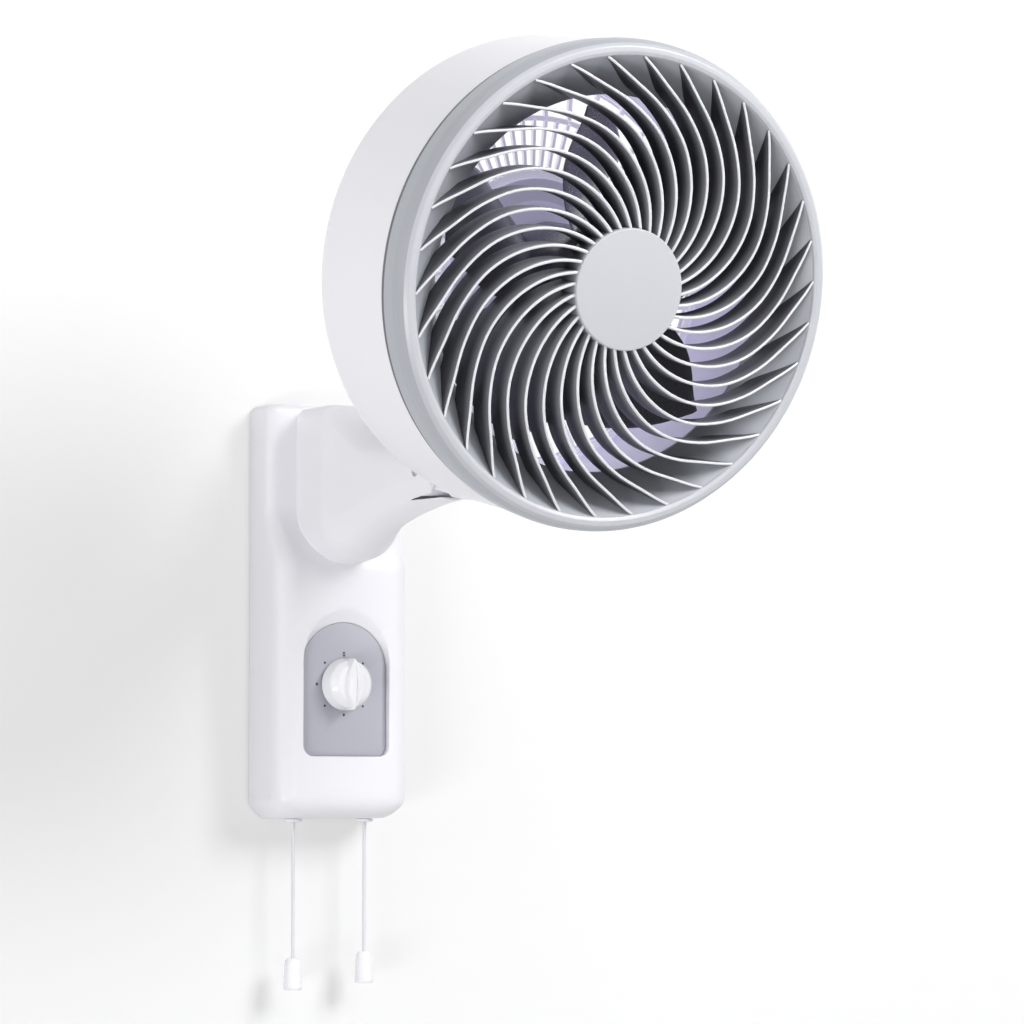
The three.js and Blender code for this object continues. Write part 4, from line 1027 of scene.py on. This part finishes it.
def grille_ring():
    """The front ring: painted shade in the seam at the drum, a grey side, a pale bead with painted highlight
    and a funnel inside.
    """
    r, lip, back = RING["radius"], RING["lip"], RING["back"]
    seam = back - 4.6
    profile = rounded([
        (108, 21.2, 0.3), (lip - 0.4, 1.2, 1.2), (lip + 0.2, -0.2, 0.9), (lip + 2.2, -1.0, 1.4),
        (r - 4.4, -0.6, 2.2), (r - 2.4, 1.4, 1.6), (r - 0.5, 5.4, 3), (r, 10, 6), (r - 0.4, 18, 3),
        (r - 0.6, seam, 0.4), (r - 1.5, seam + 0.3, 0.2), (r - 1.6, back, 0.3), (r - 5.4, back, 0.3),
        (r - 4.2, 8, 3), (r - 6.4, 3, 2), (lip + 1.6, 3, 2), (110, 23.4, 0.3), (108, 23.4, 0.3),
    ], 7)
    ring = on_head("grille_ring", turned(profile, 272), ring_grey, "grey_plastic", 50)

    def in_seam(place, way):
        return place.y > seam and math.hypot(place.x, place.z) > r - 4

    def on_bead(place, way):
        return place.y < 1.3 and math.hypot(place.x, place.z) > lip - 1

    # the seam behind the ring gets a dark painted shade
    painted(ring, seam_painted_shade, in_seam)
    # the bead gets the pale painted highlight
    return painted(ring, bead_painted_highlight, on_bead)


# how far round the sweep a rib has come at each radius
RIB_RUN = [
    (RIB["hub"] - 1.6, -0.01), (56, 0.185), (88, 0.5), (105, 0.715), (117, 0.87), (RIB["tip"] + 0.6, 1.0),
]


def rib_turn(radius):
    return math.radians(along(RIB_RUN, radius) * RIB["sweep"])


def rib():
    """One swept rib: a thin deep strip with a rounded front edge, its rear edge on the funnel."""
    loops = []
    steps, nose_steps, near = 30, 5, 0.4
    for i in range(steps + 1):
        radius = lerp(RIB_RUN[0][0], RIB_RUN[-1][0], i / steps)
        angle = rib_turn(radius)
        lean = radius * (rib_turn(radius + near) - rib_turn(radius - near)) / (2 * near)
        size = math.hypot(1, lean)
        side = (-lean / size, 1 / size)
        out = (math.cos(angle), math.sin(angle))
        across = (side[0] * out[0] - side[1] * out[1], side[0] * out[1] + side[1] * out[0])
        share = (radius - RIB["hub"]) / (RIB["tip"] - RIB["hub"])
        front = (RIB["front"] + 1.6) * (1 - max(share, 0) ** 2.2)
        funnel = max(0.6, (RING["lip"] - radius) / 23 * 20 + 0.6)
        rear = min(front + RIB["depth"], max(funnel + 0.8, front + 1))
        half = lerp(RIB["thick"], RIB["thick"] * 0.8, share) / 2
        nose = min(half * 0.9, (rear - front) * 0.4)
        section = [(-1.0, rear), (-1.0, front + nose)]
        for k in range(1, nose_steps):
            a = k / nose_steps * math.pi
            section.append((-math.cos(a), front + nose * (1 - math.sin(a))))
        section += [(1.0, front + nose), (1.0, rear)]
        loops.append([
            (radius * out[0] + across[0] * s * half, y, radius * out[1] + across[1] * s * half)
            for s, y in section
        ])
    return skinned(loops)


def grille_hub():
    """The flat pale disc in the middle, on a grey boss that the ribs run into."""
    f, r = RIB["front"], RIB["hub"]
    disc = turned(rounded([(0, f), (r - 0.1, f, 0.9), (r - 0.1, f + 2.2, 0.2), (0, f + 2.2)], 5), 128)
    boss = turned(rounded([(r, f + 2.2, 0.2), (r, 8, 0.3), (r - 2, 8, 0.3), (r - 2, f + 2.2)], 3), 128)
    return (
        on_head("hub_disc", disc, disc_grey, "grey_plastic"),
        on_head("hub_boss", boss, rib_grey_painted_shade, "grey_plastic"),
    )


def inner_slat():
    """One thin radial slat of the inner field of the rear guard."""
    f, back, half = GUARD["front"], GUARD["front"] + GUARD["thick"], 0.9
    loops = []
    for radius in (GUARD["hub"] - 1, GUARD["ring"] - 0.5):
        loops.append([
            (radius, f, -half), (radius, f, half), (radius, back, half - 0.1), (radius, back, 0.1 - half),
        ])
    return skinned(loops)


def outer_slat():
    """One wider, slightly slanted slat of the outer field."""
    f, back, half, lean, steps = GUARD["front"], GUARD["front"] + GUARD["thick"], 1.2, 0.22, 3
    loops = []
    for k in range(steps + 1):
        radius = lerp(GUARD["ring"] + 0.5, GUARD["rim"] - 3, k / steps)
        slant = (radius - GUARD["ring"]) * lean
        loops.append([
            (radius, f, slant - half), (radius, f, slant + half),
            (radius, back, slant + half - 0.1), (radius, back, slant - half + 0.1),
        ])
    return skinned(loops)


def guard_rings():
    """The rear guard's hub land, its middle ring and its rim."""
    f, t, hub, ring, rim = GUARD["front"], GUARD["thick"], GUARD["hub"], GUARD["ring"], GUARD["rim"]
    shapes = []
    for inner, outer in ((GUARD["bore"], hub), (ring - 1.5, ring + 1.5), (rim - 4, rim)):
        profile = rounded([(inner, f, 0.3), (outer, f, 0.3), (outer, f + t, 0.3), (inner, f + t, 0.3)], 2)
        shapes.append(turned(profile, 180))
    return on_head("guard_rings", together(*shapes), guard_white_painted_glow)


# the blade's two edges: radius and angle round the shaft, in degrees
TRAILING = [(29, 39.4), (50, 35.3), (58, 32.5), (71, 27.8), (83, 21.4), (90, 17.2), (95, 15), (102, 13)]
LEADING = [(29, -25), (60, -25.6), (76, -26.6), (83, -25.4), (88, -19.5), (93, -11.5), (98, -2), (102, 11)]


def blade():
    """One smoke-grey blade: wide, cupped and twisted, its tip cut oblique past the leading corner."""
    hub, tip, front, back = BLADE["hub"], BLADE["tip"], BLADE["front"], BLADE["back"]
    steps, across, root_thick, tip_thick, lead, cup_depth = 30, 28, 1.35, 0.75, 26, 16
    loops = []
    for step in range(steps + 1):
        radius = lerp(hub - 2, tip, (step / steps) ** 0.9)
        share = (radius - hub) / (tip - hub)
        high, low = along(TRAILING, radius), along(LEADING, radius)
        half_thick = lerp(root_thick, tip_thick, min(max(share, 0), 1))
        ring = []
        for face in (1, -1):
            for k in range(across + 1):
                t = k / across if face == 1 else 1 - k / across
                angle = lerp(high, low, t)
                edge_round = math.sqrt(max(1 - abs(2 * t - 1) ** 8, 0.03))
                depth = lerp(front, back, (high - angle) / (high + lead))
                cup = cup_depth * t * (1 - t) * (high - angle) / 60
                a = math.radians(angle)
                y = depth - cup + face * half_thick * edge_round
                ring.append((radius * math.cos(a), y, radius * math.sin(a)))
        loops.append(ring)
    return skinned(loops)


def impeller_hub():
    """The wheel's domed hub, open behind, with the sleeve that slides on the shaft."""
    hub = BLADE["hub"]
    profile = rounded([
        (4.3, 25, 0.4), (hub - 7, 25, 4), (hub - 0.4, 28.6, 3), (hub, 32, 1), (hub, 84, 0.6),
        (hub - 2.2, 84, 0.6), (hub - 2.2, 33, 3), (hub - 9, 29, 2), (12, 29, 1), (11, 66, 0.4),
        (4.3, 66, 0.4),
    ], 6)
    return on_head("impeller_hub", turned(profile, 128), blade_smoke, "blade_grey", body="fan_wheel")


def wheel_nut():
    """The round nut in front of the hub, with its threaded end let into it."""
    profile = rounded([
        (0, 16), (9, 16, 1.4), (12.5, 18, 1.5), (13.6, 24.6, 0.4), (5.6, 24.6, 0.3), (4.3, 23), (4.3, 19),
        (0, 19),
    ], 5)
    return on_head("wheel_nut", turned(profile, 64), blade_smoke, "blade_grey", body="fan_wheel")


def motor_front():
    """The motor's pale front shield, with its neck and its flange."""
    r, flange = MOTOR["radius"], MOTOR["flange"]
    profile = rounded([
        (8.3, 84, 0.3), (14, 84, 1), (15.5, 88, 1.5), (31, 91.5, 3), (40.5, 97.6, 3), (r, 99.8, 1),
        (flange, 99.8, 0.6), (flange, 102.8, 0.4), (r, 102.8, 0.4), (r, 114, 0.5), (39.4, 114, 0.5),
        (39.4, 104.6, 2), (38, 99.6, 2), (30, 94.4, 2), (14, 91.4, 1), (12, 92, 0.5), (8.3, 92, 0.3),
    ], 4)
    return on_head("motor_front_shell", turned(profile, 128), motor_painted_shade_and_glow)


def motor_bosses():
    """Round screw bosses on the front shield's flange."""
    boss = turned(rounded([(0, 94.6), (3.4, 94.6, 0.8), (4.4, 99.9), (0, 99.9)], 4), 32)
    placed = moved(boss, x=MOTOR["circle"])
    return set_round("motor_bosses", placed, MOTOR["screws"], MOTOR["first_screw"], motor_painted_shade_and_glow)


def motor_back_cover():
    """The white cover over the motor: a deep can with a domed, vented end and a flat underside."""
    r, front, back = COVER["radius"], COVER["front"], COVER["back"]
    floor, wall = COVER["floor"], COVER["wall"]
    circle, flange_radius, slot_half, slot_pitch = MOTOR["circle"], MOTOR["flange"], 1.6, 8

    def below(level, half=60):
        return block(brick(-half, half, 90, 220, -80, level), head_place)

    outer = rounded([
        (0, front), (r, front), (r, back - 12, 6), (40, back - 5, 10), (26, back, 12), (0, back),
    ], 7)
    inner = rounded([
        (0, front - 3), (r - wall, front - 3), (r - wall, back - 12, 5), (38, back - 7, 9),
        (25, back - wall, 11), (0, back - wall),
    ], 7)
    rim = rounded([
        (r - 1, front), (flange_radius, front, 0.6), (flange_radius, front + 3, 1), (r - 1, front + 3),
    ], 3)
    body = on_head("motor_back_cover", turned(outer, 144), white_shell, sharp=35)
    carve(body, below(floor))
    core = block(turned(inner, 120), head_place)
    carve(core, below(floor + wall))
    carve(body, core)
    flange = block(turned(rim, 144), head_place)
    carve(flange, below(floor, 70))
    carve(body, flange, operation="UNION")
    cuts = [brick(-20, 20, 138, back - 16, -50, floor + 5)]
    cuts += [brick(x - slot_half, x + slot_half, 192, 212, -14, 22) for x in range(-24, 25, slot_pitch)]
    carve(body, block(together(*cuts), head_place))
    holes = []
    for k in range(MOTOR["screws"]):
        a = math.radians(MOTOR["first_screw"] + 90 * k)
        holes.append(rod(1.9, 100, 115, circle * math.cos(a), circle * math.sin(a), 24))
    carve(body, block(together(*holes), head_place))
    return bevel(body, 0.45, 2, 45, sharp=40)


def motor_screws():
    """Four pan head screws with crossed recesses, through the cover's flange."""
    y = COVER["front"] + 4.8
    half, reach, deep = 0.32, 1.7, 0.7
    head = turned(rounded([
        (0, y), (1.8, y - 0.05, 0.6), (3.0, y - 0.6, 0.9), (3.0, y - 1.4, 0.2), (1.25, y - 1.4),
        (1.25, y - 12), (0, y - 12),
    ], 4), 40)
    screw = block(head)
    carve(screw, block(brick(-reach, reach, y - deep, y + 1, -half, half)))
    carve(screw, block(brick(-half, half, y - deep, y + 1, -reach, reach)))
    verts = [(v.co.x / MM + MOTOR["circle"], v.co.y / MM, v.co.z / MM) for v in screw.data.vertices]
    faces = [tuple(p.vertices) for p in screw.data.polygons]
    bpy.data.objects.remove(screw)
    return set_round(
        "motor_flange_screws", (verts, faces), MOTOR["screws"], MOTOR["first_screw"], steel, "steel",
    )


hub_disc, hub_boss = grille_hub()
# the ribs and the hub's boss carry painted shade that darkens with depth
ribs = set_round("grille_ribs", rib(), RIB["count"], RIB["first"], rib_grey_painted_shade, "grey_plastic")
# the ribs' forward-facing faces get the pale painted highlight
painted(ribs, rib_edge_painted_highlight, lambda place, way: way.y < -0.2)
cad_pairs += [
    (drum(), ["drum"]),
    (grille_ring(), ["front_grille"]),
    (ribs, []), (hub_disc, []), (hub_boss, []),
    (guard_rings(), ["rear_guard"]),
    (set_round("guard_inner_slats", inner_slat(), GUARD["inner_slats"], 0, guard_white_painted_glow, sharp=30), []),
    (set_round("guard_outer_slats", outer_slat(), GUARD["outer_slats"], 0, guard_white_painted_glow, sharp=30), []),
    (
        set_round(
            "impeller_blades", blade(), BLADE["count"], BLADE["first"], blade_smoke, "blade_grey", 60,
            "fan_wheel",
        ),
        ["impeller"],
    ),
    (impeller_hub(), []),
    (wheel_nut(), ["spinner_nut"]),
    (motor_front(), ["motor_front_shield"]),
    (motor_bosses(), []),
    (motor_back_cover(), ["motor_cover"]),
    (motor_screws(), [f"motor_screw_{k}" for k in (1, 2, 3, 4)]),
]

# ---------------------------------------------------------------- the part's own nodes that stay

KEPT = {
    "wall_plate": steel, "rotary_switch": black_case, "terminal_block": nylon, "run_capacitor": black_case,
    "inlet_grommet": rubber, "tilt_pin": steel, "knob_shaft": brass, "sector_gear": nylon,
    "swing_pinion": nylon, "swing_bracket": cast_metal, "swing_motor": steel, "pivot_clip": dark_steel,
    "motor_rear_shield": cast_metal,
    "stator_core": laminations, "winding_front": copper_winding, "winding_rear": copper_winding,
    "bearing_front": steel, "bearing_rear": steel, "motor_shaft": steel, "rotor": dark_steel,
    **{f"cover_screw_{k}": steel for k in (1, 2, 3, 4)}, **{f"arm_screw_{k}": steel for k in (1, 2, 3, 4)},
    "switch_screw_1": steel, "switch_screw_2": steel,
    **{f"pull_switch_{s}": black_case for s in ("left", "right")},
    **{f"pull_slider_{s}": nylon for s in ("left", "right")},
    **{f"pull_spring_{s}": steel for s in ("left", "right")},
}
for name, material in KEPT.items():
    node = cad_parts[name]
    node.data.materials.clear()
    node.data.materials.append(material)

for piece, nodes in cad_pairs:
    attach(piece, piece["body"])
    "slot" in piece
    if nodes:
        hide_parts(*nodes)
    for key in ("body", "slot"):
        if key in piece:
            del piece[key]

for side, (tube, route, weight) in cords.items():
    long = abs(route[-1][2] - route[0][2])

# ---------------------------------------------------------------- wall, floor and light


BACKDROP = dict(half=4, floor=-1.2, top=3, behind=2, gap=0.0006, glow=0.31, paint=0.59)
LAMPS = dict(
    key=((1.4, -2.3, 1.5), 64), low=((-2.2, -1.5, -1.2), 54), side=((-2.8, -0.6, 0.3), 10),
    top=((0, -2.4, 2.0), 16), front=((0, -2.9, -0.6), 5),
)
LAMP_SIZE, LAMP_AIM = 1.4, Vector((0, -0.2, 0.05))
WORLD = dict(dim=0.28, bright=1.0)


def seen_as_background(tree):
    """1 for rays from the camera, from a reflection or through something clear, and 0 for the rest."""
    path = tree.nodes.new("ShaderNodeLightPath")
    seen = Field(tree, path.outputs["Is Camera Ray"])
    for ray in ("Is Glossy Ray", "Is Transmission Ray"):
        seen = seen.maths("MAXIMUM", seen, Field(tree, path.outputs[ray]))
    return seen


def plain_backdrop(name):
    """A pale plane that is bright to the camera and takes soft shadows; from behind it is clear."""
    material = bpy.data.materials.new(name)
    material.use_nodes = True
    tree = material.node_tree
    tree.nodes.clear()
    add, link = tree.nodes.new, tree.links.new
    out = add("ShaderNodeOutputMaterial")
    diffuse = add("ShaderNodeBsdfDiffuse")
    diffuse.inputs["Color"].default_value = (*[BACKDROP["paint"]] * 3, 1)
    light = add("ShaderNodeEmission")
    light.inputs["Color"].default_value = (1, 1, 1, 1)
    strength = seen_as_background(tree) * BACKDROP["glow"]
    link(strength.socket, light.inputs["Strength"])
    both = add("ShaderNodeAddShader")
    link(diffuse.outputs[0], both.inputs[0])
    link(light.outputs[0], both.inputs[1])
    clear = add("ShaderNodeBsdfTransparent")
    behind = add("ShaderNodeNewGeometry")
    choose = add("ShaderNodeMixShader")
    link(behind.outputs["Backfacing"], choose.inputs[0])
    link(both.outputs[0], choose.inputs[1])
    link(clear.outputs[0], choose.inputs[2])
    link(choose.outputs[0], out.inputs["Surface"])
    return material


def flat_plane(name, corners):
    mesh = bpy.data.meshes.new(name)
    mesh.from_pydata(corners, [], [(0, 1, 2, 3)])
    mesh.materials.append(plain_backdrop(f"{name}_paint"))
    made = bpy.data.objects.new(name, mesh)
    bpy.context.scene.collection.objects.link(made)


def soft_light(name, place, power):
    data = bpy.data.lights.new(name, "AREA")
    data.shape = "DISK"
    data.size = LAMP_SIZE
    data.energy = power
    lamp = bpy.data.objects.new(name, data)
    lamp.location = place
    lamp.rotation_euler = (LAMP_AIM - Vector(place)).to_track_quat("-Z", "Y").to_euler()
    bpy.context.scene.collection.objects.link(lamp)


def studio_world():
    """A dim white room, which the camera, reflections and clear surfaces see at full white."""
    world = bpy.data.worlds.new("studio")
    world.use_nodes = True
    bpy.context.scene.world = world
    tree = world.node_tree
    tree.nodes.clear()
    out = tree.nodes.new("ShaderNodeOutputWorld")
    choose = tree.nodes.new("ShaderNodeMixShader")
    tree.links.new(seen_as_background(tree).socket, choose.inputs[0])
    for slot, strength in ((1, WORLD["dim"]), (2, WORLD["bright"])):
        sky = tree.nodes.new("ShaderNodeBackground")
        sky.inputs["Color"].default_value = (1, 1, 1, 1)
        sky.inputs["Strength"].default_value = strength
        tree.links.new(sky.outputs[0], choose.inputs[slot])
    tree.links.new(choose.outputs[0], out.inputs["Surface"])


half, floor, gap = BACKDROP["half"], BACKDROP["floor"], BACKDROP["gap"]
top, behind = BACKDROP["top"], BACKDROP["behind"]
flat_plane("pale_wall", [(-half, gap, floor), (half, gap, floor), (half, gap, top), (-half, gap, top)])
flat_plane(
    "pale_floor",
    [(-half, -half, floor), (half, -half, floor), (half, behind, floor), (-half, behind, floor)],
)
for name, (place, power) in LAMPS.items():
    soft_light(name, place, power)
studio_world()
bpy.context.scene.view_settings.view_transform = "Standard"
